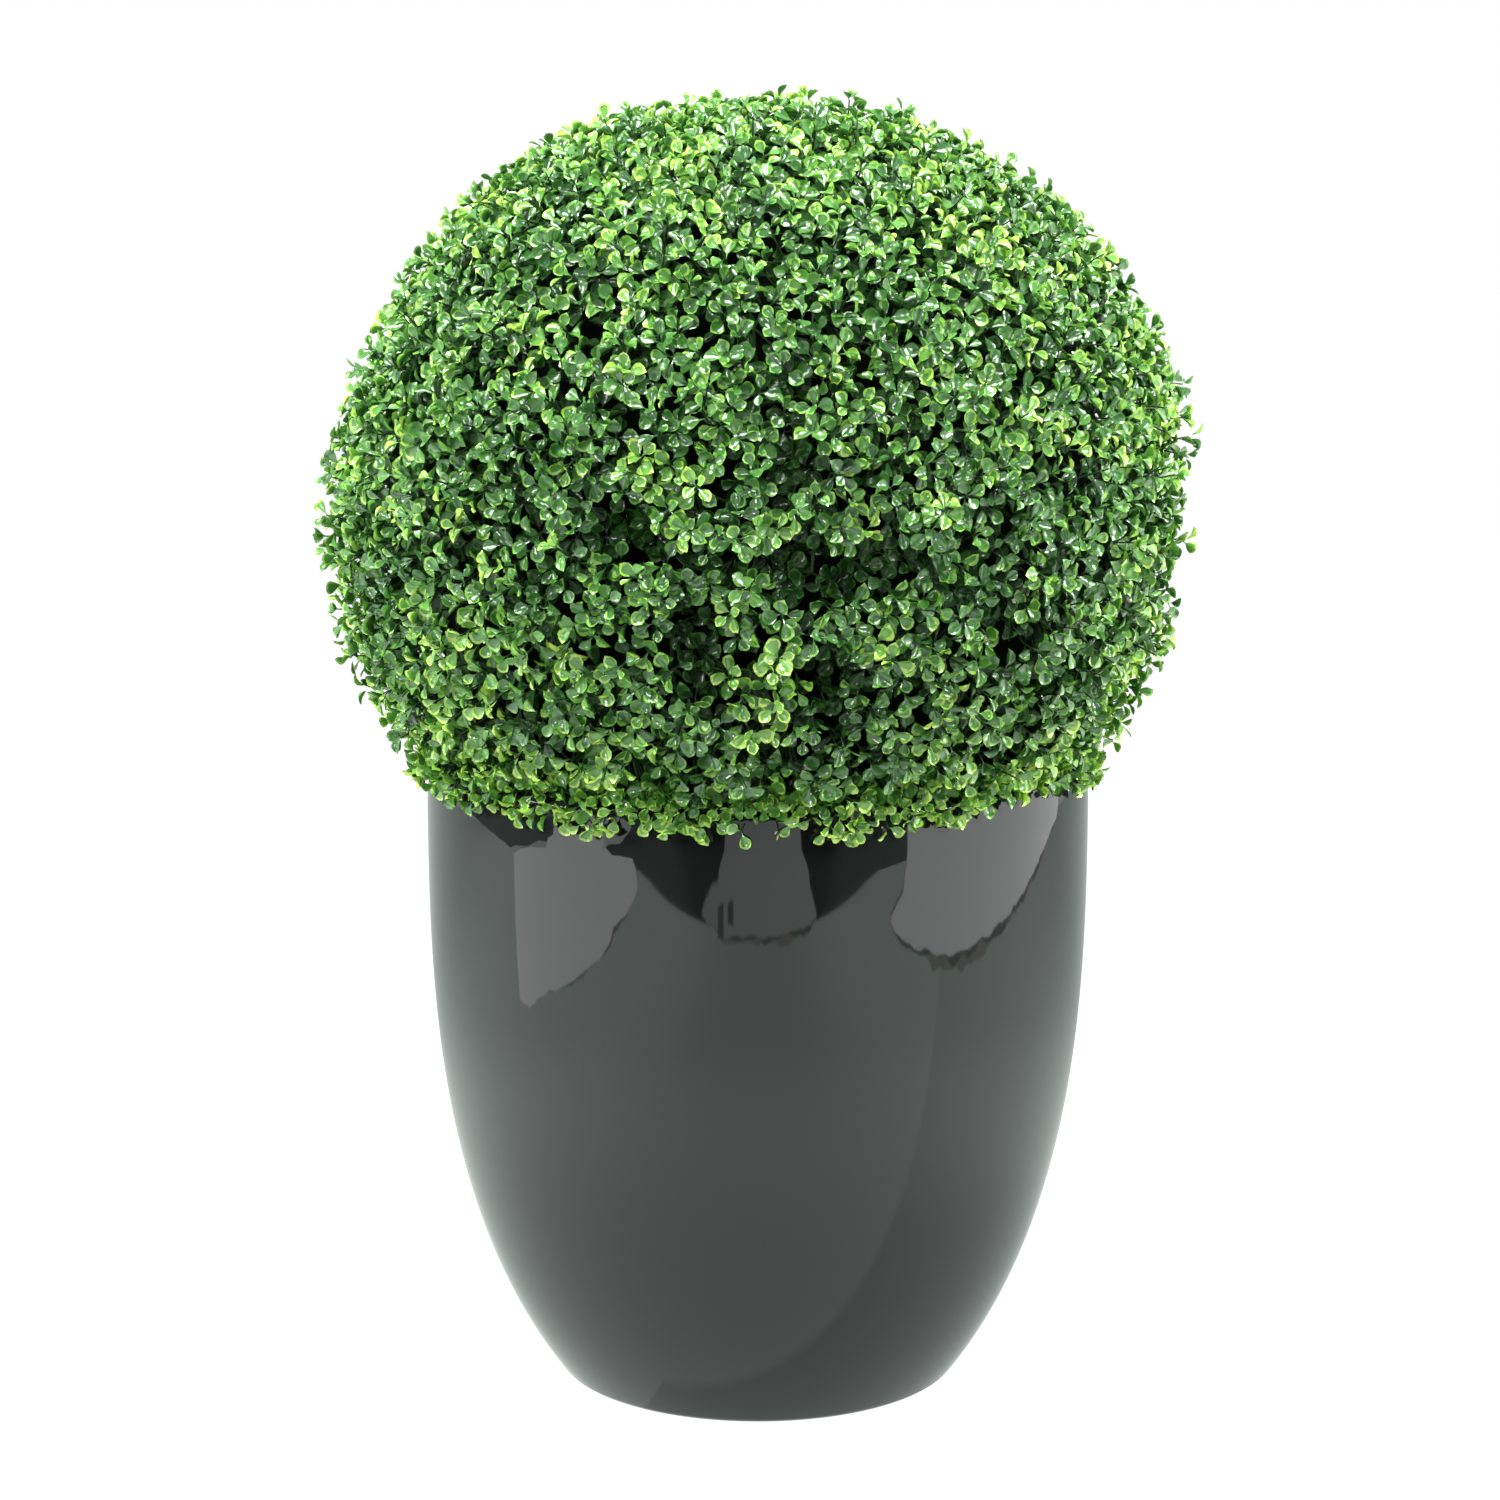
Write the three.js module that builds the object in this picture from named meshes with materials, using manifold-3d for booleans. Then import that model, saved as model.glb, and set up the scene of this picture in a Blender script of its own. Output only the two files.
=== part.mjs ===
// A box topiary ball standing in its glazed pot, in millimetres, +Z up.
// The origin is the middle of the pot's flat underside.
//
// pot           turned stoneware shell, widest just under its lip
// potting_fill  planting medium that fills the pot to a hand's width under the lip
// stem          short trunk that rises from the fill into the middle of the ball
// foliage_ball  clipped foliage: a core of packed twigs, with leafy shoots that stand out of it
import * as THREE from 'three';
import { mergeVertices } from 'three/addons/utils/BufferGeometryUtils.js';
import Module from 'manifold-3d';

const wasm = await Module();
wasm.setup();

// ---- Driving dimensions ------------------------------------------------------------

const GAP = 0.3; // between neighbours that rest on each other

const POT = {
  height: 416,
  bellyRadius: 215.5,
  bellyHeight: 382,
  footRadius: 129,
  footRound: 10,
  lipInset: 4, // the lip is this much narrower than the belly
  wall: 12,
  floor: 16,
  flank: 2.75, // a higher power keeps the flank upright for longer
  shoulder: 1.8, // a lower power draws the flank in sooner near the foot
};

const FILL = {
  top: 325,
  crown: 6, // rise of the surface towards the stem
  seat: 45, // radius of the level middle, under the stem
  edge: 8, // width and height of the slope down to the wall
};

const STEM = {
  top: 540,
  baseRadius: 21,
  topRadius: 14,
  flare: 12, // extra radius where the stem meets the fill
  flareHeight: 18,
  chamfer: 4,
};

const BALL = {
  centre: 576,
  radius: 275, // to the tips of the leaves
  core: 0.865, // share of the reach that the packed twigs fill
  coreDetail: 4,
  lumps: 9, // mm between the hollows and the swells of the core
  lowest: -44, // degrees: inside the pot's mouth the ball bears no leaves
};

// Where the clipping left the ball flatter or fuller than a true sphere:
// direction in degrees, height of the swell, and its half width in degrees.
const SWELLS = [
  { azimuth: 0, elevation: 90, height: -12, width: 34 },
  { azimuth: 5, elevation: 27, height: 8, width: 22 },
  { azimuth: 180, elevation: -14, height: 7, width: 24 },
  { azimuth: 178, elevation: 22, height: -5, width: 16 },
  { azimuth: 60, elevation: 10, height: -5, width: 24 },
  { azimuth: 115, elevation: -12, height: 6, width: 26 },
  { azimuth: 255, elevation: 5, height: -4, width: 24 },
];

// Boughs end inside the core, where they fork into the twigs that stand out of it.
const BOUGH = {
  count: 30,
  end: 0.5, // share of the reach, from the ball's centre
};

const TWIG = {
  count: 104,
  seed: 71,
  jitter: 2, // degrees that a twig leans off its even place
  tip: 0.96,
  radius: 14, // at the bough, tapering to a point
};

// Box bears its leaves in opposite pairs, each pair square to the one below it.
const LEAF_PAIRS = [
  { height: 0.88, splay: 76 },
  { height: 0.868, splay: 43 },
];

const LIP_ROOM = 6; // between the lip and the twigs that lie out over it

const LEAF = {
  length: 52,
  width: 40,
  thickness: 2.4,
  cup: 5, // depth of the hollow along the middle
  widest: 0.62, // share of the length where the leaf is widest
  sway: 5, // degrees that a leaf strays from the splay of its pair
  twist: 9, // degrees that a leaf strays round its twig
  level: 4, // degrees that a leaf still rises where it is laid out over the lip
  clearance: 1.5, // between a leaf or twig and the pot
};

const ROUND_SEGMENTS = 44;
const STEM_SEGMENTS = 12;

const FINISH = {
  glaze: { color: 0x4a4d4b, roughness: 0.2, metalness: 0 },
  medium: { color: 0x3b2c20, roughness: 0.95, metalness: 0 },
  bark: { color: 0x6b5a44, roughness: 0.85, metalness: 0 },
  foliage: { color: 0x56803f, roughness: 0.5, metalness: 0 },
};

// ---- Small helpers -----------------------------------------------------------------

const radians = THREE.MathUtils.degToRad;
const UP = new THREE.Vector3(0, 0, 1);
const X_AXIS = new THREE.Vector3(1, 0, 0);
const Y_AXIS = new THREE.Vector3(0, 1, 0);

function directionOf(azimuth, elevation) {
  const level = Math.cos(radians(elevation));
  return new THREE.Vector3(
    level * Math.cos(radians(azimuth)),
    level * Math.sin(radians(azimuth)),
    Math.sin(radians(elevation)),
  );
}

function namedMesh(name, geometry, finish) {
  const mesh = new THREE.Mesh(geometry, new THREE.MeshStandardMaterial(finish));
  mesh.name = name;
  return mesh;
}

// LatheGeometry turns about Y, so a profile of [radius, height] is stood up on Z.
function turned(profile, segments) {
  const points = profile.map(([radius, height]) => new THREE.Vector2(radius, height));
  return new THREE.LatheGeometry(points, segments).rotateX(Math.PI / 2);
}

function solidOf(geometry) {
  const bare = geometry.clone();
  bare.deleteAttribute('normal');
  bare.deleteAttribute('uv');
  const merged = mergeVertices(bare, 1e-4);
  return new wasm.Manifold(new wasm.Mesh({
    numProp: 3,
    vertProperties: new Float32Array(merged.attributes.position.array),
    triVerts: new Uint32Array(merged.index.array),
  }));
}

function geometryOf(solid) {
  const mesh = solid.getMesh();
  const geometry = new THREE.BufferGeometry();
  geometry.setAttribute('position', new THREE.BufferAttribute(mesh.vertProperties, 3));
  geometry.setIndex(new THREE.BufferAttribute(mesh.triVerts, 1));
  geometry.computeVertexNormals();
  return geometry;
}

// ---- Pot ---------------------------------------------------------------------------

// Outer radius: a flattened curve from the foot out to the belly, then slightly in to the lip.
function potRadius(height) {
  const { bellyRadius, bellyHeight, footRadius, lipInset, flank, shoulder, footRound } = POT;
  if (height >= bellyHeight) {
    const above = (height - bellyHeight) / (POT.height - bellyHeight);
    return bellyRadius - lipInset * above * above;
  }
  const drop = bellyHeight / (1 - (footRadius / bellyRadius) ** shoulder) ** (1 / flank);
  const below = (bellyHeight - height) / drop;
  const side = bellyRadius * (1 - below ** flank) ** (1 / shoulder);
  const rounded = Math.max(0, 1 - height / footRound);
  return side - footRound * (1 - Math.sqrt(1 - rounded * rounded));
}

// Points up the outside of the wall, closer together round the foot.
function potOutside() {
  const footSteps = 4;
  const flankSteps = 15;
  const lipBase = POT.height - POT.wall / 2;
  const heights = [];
  for (let i = 0; i < footSteps; i++) {
    heights.push(POT.footRound * (1 - Math.cos((i / footSteps) * Math.PI / 2)));
  }
  for (let i = 0; i <= flankSteps; i++) {
    heights.push(POT.footRound + (lipBase - POT.footRound) * (i / flankSteps) ** 1.2);
  }
  return heights.map((height) => [potRadius(height), height]);
}

// Points up the inside, from the edge of the floor: one wall's thickness in, square to the wall.
function potInside() {
  const nudge = 0.5;
  const corner = 4;
  const wall = potOutside()
    .filter(([, height]) => height >= POT.footRound)
    .map(([radius, height]) => {
      const slope = (potRadius(height + nudge) - potRadius(height - nudge)) / (2 * nudge);
      const across = Math.hypot(1, slope);
      return [radius - POT.wall / across, height + POT.wall * slope / across];
    })
    .filter(([, height]) => height > POT.floor + corner / 2);
  return [[wall[0][0] - corner, POT.floor], ...wall];
}

function makePot() {
  const lipSteps = 6;
  const lipRadius = POT.wall / 2;
  const outside = potOutside();
  const [lipOuter, lipBase] = outside[outside.length - 1];
  const lip = [];
  for (let i = 1; i < lipSteps; i++) {
    const turn = Math.PI * i / lipSteps;
    lip.push([lipOuter - lipRadius * (1 - Math.cos(turn)), lipBase + lipRadius * Math.sin(turn)]);
  }
  const profile = [[0, 0], ...outside, ...lip, ...potInside().reverse(), [0, POT.floor]];
  return turned(profile, ROUND_SEGMENTS);
}

// ---- Potting fill and stem ---------------------------------------------------------

function makePottingFill() {
  const bottom = POT.floor + GAP;
  const side = potInside()
    .filter(([, height]) => height < FILL.top - FILL.edge)
    .map(([radius, height]) => [radius - GAP, Math.max(height, bottom)]);
  const rim = side[side.length - 1][0];
  const crown = FILL.top + FILL.crown;
  const profile = [
    [0, bottom],
    ...side,
    [rim - FILL.edge, FILL.top],
    [(rim + FILL.seat) / 2, FILL.top + FILL.crown * 0.7],
    [FILL.seat, crown],
    [0, crown],
  ];
  return turned(profile, ROUND_SEGMENTS);
}

// The stem, or with a margin the room that the core leaves round it.
function makeStem(margin = 0) {
  const base = FILL.top + FILL.crown + GAP;
  const flareSteps = 4;
  const flare = [];
  for (let i = 0; i <= flareSteps; i++) {
    const up = i / flareSteps;
    const radius = STEM.baseRadius + STEM.flare * (1 - up) ** 2;
    flare.push([radius + margin, base + STEM.flareHeight * up]);
  }
  const profile = [
    [0, base],
    ...flare,
    [(STEM.baseRadius + STEM.topRadius) / 2 + margin, (base + STEM.top) / 2],
    [STEM.topRadius + margin, STEM.top - STEM.chamfer],
    [STEM.topRadius - STEM.chamfer + margin, STEM.top + margin],
    [0, STEM.top + margin],
  ];
  return turned(profile, STEM_SEGMENTS);
}

// ---- Foliage -----------------------------------------------------------------------

const ballCentre = new THREE.Vector3(0, 0, BALL.centre);
const swells = SWELLS.map(({ azimuth, elevation, height, width }) => ({
  towards: directionOf(azimuth, elevation),
  height,
  fall: 1 - Math.cos(radians(width)),
}));

// Distance from the ball's centre to its leaf tips in one direction.
function reachOf(direction) {
  let reach = BALL.radius;
  for (const { towards, height, fall } of swells) {
    reach += height * Math.exp((direction.dot(towards) - 1) / fall);
  }
  return reach;
}

function placeInBall(direction, share) {
  return direction.clone().multiplyScalar(reachOf(direction) * share).add(ballCentre);
}

function makeCore(random) {
  const sphere = new THREE.IcosahedronGeometry(1, BALL.coreDetail);
  sphere.deleteAttribute('normal');
  sphere.deleteAttribute('uv');
  const core = mergeVertices(sphere);
  const { position } = core.attributes;
  const direction = new THREE.Vector3();
  for (let i = 0; i < position.count; i++) {
    direction.fromBufferAttribute(position, i).normalize();
    const lump = BALL.lumps * (random() - 0.5) / BALL.radius;
    const place = placeInBall(direction, BALL.core + lump);
    position.setXYZ(i, place.x, place.y, place.z);
  }
  return core;
}

// A three-sided twig that tapers to a point.
function makeTwig(root, tip, radius) {
  const along = tip.clone().sub(root);
  const twig = new THREE.ConeGeometry(radius, along.length(), 3, 1);
  const turn = new THREE.Quaternion().setFromUnitVectors(Y_AXIS, along.clone().normalize());
  twig.applyQuaternion(turn);
  const middle = root.clone().add(tip).multiplyScalar(0.5);
  return twig.translate(middle.x, middle.y, middle.z);
}

// A cupped, spoon-shaped leaf of eight faces. along runs from root to tip, face is its upper side.
function makeLeaf(root, along, face) {
  const side = new THREE.Vector3().crossVectors(along, face).normalize();
  const upper = new THREE.Vector3().crossVectors(side, along).normalize();
  const at = (length, across, rise) => root.clone()
    .addScaledVector(along, length)
    .addScaledVector(side, across)
    .addScaledVector(upper, rise);
  const widest = LEAF.length * LEAF.widest;
  const corners = [
    root,
    at(widest, LEAF.width / 2, 0),
    at(LEAF.length, 0, 0),
    at(widest, -LEAF.width / 2, 0),
    at(widest, 0, LEAF.thickness / 2 - LEAF.cup),
    at(widest, 0, -LEAF.thickness / 2 - LEAF.cup),
  ];
  const leaf = new THREE.BufferGeometry().setFromPoints(corners);
  const [top, underside] = [4, 5];
  const faces = [];
  for (let i = 0; i < 4; i++) {
    const next = (i + 1) % 4;
    faces.push(i, next, top, next, i, underside);
  }
  leaf.setIndex(faces);
  return leaf;
}

// True where every edge of the geometry keeps clear of the pot's wall and the fill.
function fitsAroundPot(geometry) {
  const margin = LEAF.clearance;
  const { position } = geometry.attributes;
  const corners = [];
  for (let i = 0; i < position.count; i++) {
    corners.push(new THREE.Vector3().fromBufferAttribute(position, i));
  }
  const point = new THREE.Vector3();
  for (const from of corners) {
    for (const to of corners) {
      for (const share of [0, 0.25, 0.5]) {
        point.lerpVectors(from, to, share);
        const outer = potRadius(Math.min(point.z, POT.height));
        const level = Math.hypot(point.x, point.y);
        const inWall = level < outer + margin && level > outer - POT.wall - margin;
        if (point.z < POT.height + margin && inWall) return false;
        if (point.z < FILL.top + FILL.crown + margin) return false;
      }
    }
  }
  return true;
}

// Even places over the ball by the golden angle, each leaned a little by the seeded random.
function evenDirections(count, jitter, random) {
  const golden = Math.PI * (3 - Math.sqrt(5));
  const lowest = Math.sin(radians(BALL.lowest));
  const directions = [];
  for (let i = 0; i < count; i++) {
    const rise = 1 - (1 - lowest) * (i + 0.5) / count;
    const level = Math.sqrt(1 - rise * rise);
    const direction = new THREE.Vector3(
      level * Math.cos(i * golden),
      level * Math.sin(i * golden),
      rise,
    );
    const lean = new THREE.Vector3(random() - 0.5, random() - 0.5, random() - 0.5);
    directions.push(direction.addScaledVector(lean, 2 * radians(jitter)).normalize());
  }
  return directions;
}

// A leaf that would run down into the pot is laid out level over the lip instead.
function levelled(along) {
  const rise = Math.sin(radians(LEAF.level));
  return new THREE.Vector3(along.x, along.y, Math.max(along.z, rise)).normalize();
}

// A unit vector square to the direction, away from the upright where that would be unsteady.
function squareTo(direction) {
  const reference = Math.abs(direction.z) < 0.9 ? UP : X_AXIS;
  return new THREE.Vector3().crossVectors(reference, direction).normalize();
}

// One twig from the end of its bough, with its pairs of leaves.
function growTwig(bough, direction, random) {
  const across = squareTo(direction);
  const stray = (degrees) => radians(degrees) * (2 * random() - 1);
  const root = placeInBall(bough, BOUGH.end);
  const tip = placeInBall(direction, TWIG.tip);
  tip.z = Math.max(tip.z, POT.height + LIP_ROOM);
  const along = tip.clone().sub(root).normalize();
  const pieces = [makeTwig(root, tip, TWIG.radius)];
  let roll = random() * Math.PI;
  for (const { height, splay } of LEAF_PAIRS) {
    const leafRoot = tip.clone().addScaledVector(along, (height - TWIG.tip) * reachOf(direction));
    for (const turn of [roll, roll + Math.PI]) {
      const lean = radians(splay) + stray(LEAF.sway);
      const outward = across.clone().applyAxisAngle(direction, turn + stray(LEAF.twist));
      const leafAlong = direction.clone().multiplyScalar(Math.cos(lean))
        .addScaledVector(outward, Math.sin(lean));
      const leaf = makeLeaf(leafRoot, leafAlong, direction);
      pieces.push(fitsAroundPot(leaf) ? leaf : makeLeaf(leafRoot, levelled(leafAlong), UP));
    }
    roll += Math.PI / 2;
  }
  return pieces.filter(fitsAroundPot);
}

function nearest(direction, others) {
  return others.reduce((best, other) => (
    direction.dot(other) > direction.dot(best) ? other : best
  ));
}

function makeFoliageBall() {
  const random = THREE.MathUtils.seededRandom;
  random(TWIG.seed);
  const boughs = evenDirections(BOUGH.count, TWIG.jitter, random);
  const shoots = evenDirections(TWIG.count, TWIG.jitter, random)
    .flatMap((direction) => growTwig(nearest(direction, boughs), direction, random));
  const core = solidOf(makeCore(random)).subtract(solidOf(makeStem(GAP)));
  const fused = wasm.Manifold.union([core, ...shoots.map(solidOf)]);
  // A scrap that lost its twig, or a hollow sealed by fusing, is a smaller body of its own.
  const bodies = fused.decompose().sort((one, other) => other.volume() - one.volume());
  return geometryOf(bodies[0]);
}

// ---- Assembly ----------------------------------------------------------------------

const topiary = new THREE.Group();
topiary.name = 'box_topiary_ball';
topiary.add(namedMesh('pot', makePot(), FINISH.glaze));
topiary.add(namedMesh('potting_fill', makePottingFill(), FINISH.medium));
topiary.add(namedMesh('stem', makeStem(), FINISH.bark));
topiary.add(namedMesh('foliage_ball', makeFoliageBall(), FINISH.foliage));

export default topiary;
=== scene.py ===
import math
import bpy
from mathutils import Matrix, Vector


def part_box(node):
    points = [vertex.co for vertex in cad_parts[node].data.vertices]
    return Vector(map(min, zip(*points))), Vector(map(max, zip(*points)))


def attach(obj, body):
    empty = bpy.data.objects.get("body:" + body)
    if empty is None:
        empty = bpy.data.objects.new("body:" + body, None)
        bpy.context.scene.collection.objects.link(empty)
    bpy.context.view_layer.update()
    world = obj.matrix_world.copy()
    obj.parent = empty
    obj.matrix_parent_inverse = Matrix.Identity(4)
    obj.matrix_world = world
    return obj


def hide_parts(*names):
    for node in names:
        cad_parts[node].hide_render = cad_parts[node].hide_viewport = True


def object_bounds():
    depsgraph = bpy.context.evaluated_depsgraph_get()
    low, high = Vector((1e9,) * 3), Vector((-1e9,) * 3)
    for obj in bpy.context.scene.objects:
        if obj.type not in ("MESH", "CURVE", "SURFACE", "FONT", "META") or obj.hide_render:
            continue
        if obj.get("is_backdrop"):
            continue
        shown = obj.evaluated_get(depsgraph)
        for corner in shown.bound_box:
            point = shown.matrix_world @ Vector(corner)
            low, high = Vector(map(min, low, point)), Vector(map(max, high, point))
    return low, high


bl_info = {
    "name": "Box topiary ball in a glazed pot",
    "version": (1, 0, 0),
    "blender": (4, 5, 0),
    "location": "3D View > Sidebar > Topiary",
    "description": "Dresses the packed model of a moulded box topiary ball and its pot",
    "category": "Object",
}

from contextlib import contextmanager

import bmesh
import bpy
from bpy.props import FloatProperty, FloatVectorProperty, IntProperty, PointerProperty
from bpy.types import Operator, Panel, PropertyGroup
from mathutils import Quaternion, Vector
from mathutils.kdtree import KDTree
from mathutils.noise import noise

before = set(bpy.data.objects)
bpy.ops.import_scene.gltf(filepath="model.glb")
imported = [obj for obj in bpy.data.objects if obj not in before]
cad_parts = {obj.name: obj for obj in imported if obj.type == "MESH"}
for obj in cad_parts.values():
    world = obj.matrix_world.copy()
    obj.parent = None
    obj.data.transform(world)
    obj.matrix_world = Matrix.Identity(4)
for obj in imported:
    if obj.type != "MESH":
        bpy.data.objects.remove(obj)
CAD_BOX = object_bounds()
POT_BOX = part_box("pot")
STEM_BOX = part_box("stem")
FILL_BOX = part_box("potting_fill")

MM = 0.001
UP = Vector((0, 0, 1))
GOLDEN_ANGLE = math.pi * (3 - math.sqrt(5))

# Where the ball is flatter or fuller than a true sphere: azimuth and elevation in degrees,
# height of the swell in millimetres, and its half width in degrees.
SWELLS = [(0, 90, -12, 34), (5, 27, 8, 22), (180, -14, 7, 24), (178, 22, -5, 16),
          (60, 10, -5, 24), (115, -12, 6, 26), (255, 5, -4, 24)]

# Hollows where the leaves lie back, most of them near the seam: azimuth and elevation in
# degrees, and depth in millimetres. All of them are equally wide.
HOLLOW_WIDTH = 4.5
HOLLOWS = [(276, 0, 27), (250, 3, 32), (306, -10, 31), (281, -16, 21), (262, -9, 23),
           (302, 1, 22), (264, -17, 19), (275, 12, 20), (30, -6, 26), (74, 3, 26),
           (121, -12, 26), (160, 2, 26), (203, -9, 26), (96, -20, 26)]

# A spray's pairs of leaves, from the lowest to the tip: distance below the tip as a share of
# the stem, splay from the stem in degrees, size as a share of a full leaf, and by how many
# tones the pair is painted into shade, for lying deeper in the spray than the tip.
LEAF_PAIRS = [
    {"below": 0.92, "splay": 84, "size": 1.0, "shade_tones": 3},
    {"below": 0.62, "splay": 76, "size": 1.04, "shade_tones": 1},
    {"below": 0.32, "splay": 64, "size": 1.0, "shade_tones": 0},
    {"below": 0.06, "splay": 44, "size": 0.84, "shade_tones": 0},
]

# The pick, drawn from about 0 to 1, that each tone of a spray's tip reaches up to. What
# lies above the last one is the yellowest tone.
BALL_TONES = {1: 0.27, 2: 0.62, 3: 0.9}
# The sprays laid over the lip take only the lighter tones: painted light from below.
SKIRT_LIT_TONES = {2: 0.15, 3: 0.55}

SHADE_DEPTH = 21  # depth in millimetres from which sprays have the darkest tone, as painted shade

LONG_SHOOTS = 0.035  # share of the sprays that stand out of the clipped ball
SEAM_OPEN = 0.8  # seam share from which there are no sprays at all
SKIRT_ROOTS = -27  # elevation in degrees of the branchlets that bear the skirt
RAISED_AZIMUTH, RAISED_WIDTH = -40, 14  # where the skirt rides higher, in degrees

# Some leaves have hardly any rim: their share, and the finish that each tone changes to.
SOFT_SHARE = 0.4
SOFT_RIMS = {1: 5, 2: 6, 3: 7}

# Leaf tones from the deepest sprays, in painted shade, to the yellowest: name, inner field and
# rim.
LEAF_TONES = [("shaded", "#15380f", "#2f5c20"), ("dark", "#29601e", "#69a83e"),
              ("middle", "#3e7a2c", "#88c449"), ("fresh", "#549236", "#a4d952"),
              ("lime", "#69a83e", "#bee560")]


# ---- Small helpers -----------------------------------------------------------------


def linear(code):
    """An sRGB hex colour as linear red, green and blue."""
    shares = [int(code[i:i + 2], 16) / 255 for i in (1, 3, 5)]
    return tuple(s / 12.92 if s <= 0.04045 else ((s + 0.055) / 1.055) ** 2.4 for s in shares)


def length(name, description, millimetres):
    return FloatProperty(name=name, description=description, default=millimetres * MM,
                         unit="LENGTH", subtype="DISTANCE", precision=4)


def number(name, description, default):
    return FloatProperty(name=name, description=description, default=default)


def angle(name, description, degrees):
    return FloatProperty(name=name, description=description, default=math.radians(degrees),
                         unit="ROTATION", subtype="ANGLE")


def colour(name, description, code):
    return FloatVectorProperty(name=name, description=description, default=linear(code),
                               size=3, min=0, max=1, subtype="COLOR")


def node(tree, kind, inputs=None, **settings):
    """Adds a node with its settings, and gives each input a value or a link."""
    made = tree.nodes.new(kind)
    for key, value in settings.items():
        setattr(made, key, value)
    for key, value in (inputs or {}).items():
        if isinstance(value, bpy.types.NodeSocket):
            tree.links.new(value, made.inputs[key])
        else:
            made.inputs[key].default_value = value
    return made


def calculated(tree, operation, *values):
    """The result of one sum on numbers or sockets."""
    return node(tree, "ShaderNodeMath", dict(enumerate(values)),
                operation=operation).outputs["Value"]


def ramp(tree, value, start, end, low, high):
    """Goes smoothly from low where the value is start to high where it is end."""
    return node(tree, "ShaderNodeMapRange", {
        "Value": value, "From Min": start, "From Max": end, "To Min": low, "To Max": high,
    }, interpolation_type="SMOOTHSTEP").outputs["Result"]


def mixed(tree, factor, first, second):
    """A colour between first and second. Each is a socket, or linear red, green and blue."""
    first, second = ((*c, 1) if isinstance(c, tuple) else c for c in (first, second))
    return node(tree, "ShaderNodeMix", {"Factor": factor, 6: first, 7: second},
                data_type="RGBA").outputs[2]


def object_place(tree):
    return node(tree, "ShaderNodeTexCoord").outputs["Object"]


def surface_noise(tree, size, detail=2.0, place=None):
    """Noise whose lumps are about size across, in metres on the object."""
    return node(tree, "ShaderNodeTexNoise", {
        "Vector": place or object_place(tree), "Scale": 0.5 / size, "Detail": detail,
    }).outputs["Fac"]


def bump(tree, height, distance, **inputs):
    """A normal for a relief of height, from 0 to 1, that is distance deep."""
    return node(tree, "ShaderNodeBump", {"Height": height, "Distance": distance,
                                         "Strength": 1.0, **inputs}).outputs["Normal"]


def blank_material(name):
    made = bpy.data.materials.new(name)
    made.use_nodes = True
    made.node_tree.nodes.clear()
    return made, made.node_tree


def material(name, shade, roughness, ior, pattern=None, more=None):
    """A Principled material. pattern(tree) returns the inputs that follow the surface."""
    made, tree = blank_material(name)
    inputs = {"Base Color": (*shade, 1), "Roughness": roughness, "IOR": ior, **(more or {})}
    inputs.update(pattern(tree) if pattern else {})
    shader = node(tree, "ShaderNodeBsdfPrincipled", inputs)
    node(tree, "ShaderNodeOutputMaterial", {"Surface": shader.outputs["BSDF"]})
    made.diffuse_color = (*shade, 1)
    return made


def grain(size, detail, depth):
    """A pattern with nothing but a fine relief."""
    return lambda tree: {"Normal": bump(tree, surface_noise(tree, size, detail), depth)}


def new_piece(name, mesh, slot, replaced, *finishes):
    """Puts a finished mesh on the frame, in place of a CAD node."""
    piece = bpy.data.objects.new(name, mesh)
    bpy.context.scene.collection.objects.link(piece)
    if finishes:
        mesh.materials.clear()
        for finish in finishes:
            mesh.materials.append(finish)
    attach(piece, "root")
    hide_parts(replaced)
    return piece


def mesh_from(name, points, faces, smooth=True):
    mesh = bpy.data.meshes.new(name)
    mesh.from_pydata(points, [], faces, shade_flat=not smooth)
    mesh.validate()
    return mesh


@contextmanager
def editing(mesh):
    """The mesh opened as a BMesh, and written back at the end."""
    work = bmesh.new()
    work.from_mesh(mesh)
    yield work
    work.to_mesh(mesh)
    work.free()


def turned(name, profile, segments, relief=None):
    """A profile of (radius, height) turned about Z, from below round the outside and back.

    relief(radius, height, azimuth) returns the radius with the surface's own unevenness.
    """
    points, rings, faces = [], [], []
    for radius, height in profile:
        if radius == 0:
            rings.append([len(points)] * segments)
            points.append((0, 0, height))
            continue
        rings.append(range(len(points), len(points) + segments))
        for i in range(segments):
            azimuth = 2 * math.pi * i / segments
            out = relief(radius, height, azimuth) if relief else radius
            points.append((out * math.cos(azimuth), out * math.sin(azimuth), height))
    for low, high in zip(rings, rings[1:]):
        for i in range(segments):
            j = (i + 1) % segments
            corners = list(dict.fromkeys((low[i], low[j], high[j], high[i])))
            faces.append(corners)
    return mesh_from(name, points, faces)


def evaluated(carrier, tree, **inputs):
    """Runs a Geometry Nodes tree on a carrier mesh and returns the result as a plain mesh."""
    holder = bpy.data.objects.new(carrier.name, carrier)
    bpy.context.scene.collection.objects.link(holder)
    modifier = holder.modifiers.new("Nodes", "NODES")
    modifier.node_group = tree
    for item in tree.interface.items_tree:
        if item.item_type == "SOCKET" and item.name in inputs:
            modifier[item.identifier] = inputs[item.name]
    bpy.context.view_layer.update()
    graph = bpy.context.evaluated_depsgraph_get()
    mesh = bpy.data.meshes.new_from_object(holder.evaluated_get(graph))
    holder.modifiers.remove(modifier)
    bpy.data.objects.remove(holder)
    bpy.data.meshes.remove(carrier)
    for name in [a.name for a in mesh.attributes if a.name in CARRIED]:
        mesh.attributes.remove(mesh.attributes[name])
    return mesh


# ---- Geometry Nodes ----------------------------------------------------------------

# What the carrier meshes and the leaf's shape hand to the trees. The results do without.
CARRIED = ("along", "face", "size", "tone", "rim", "thickness")


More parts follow.
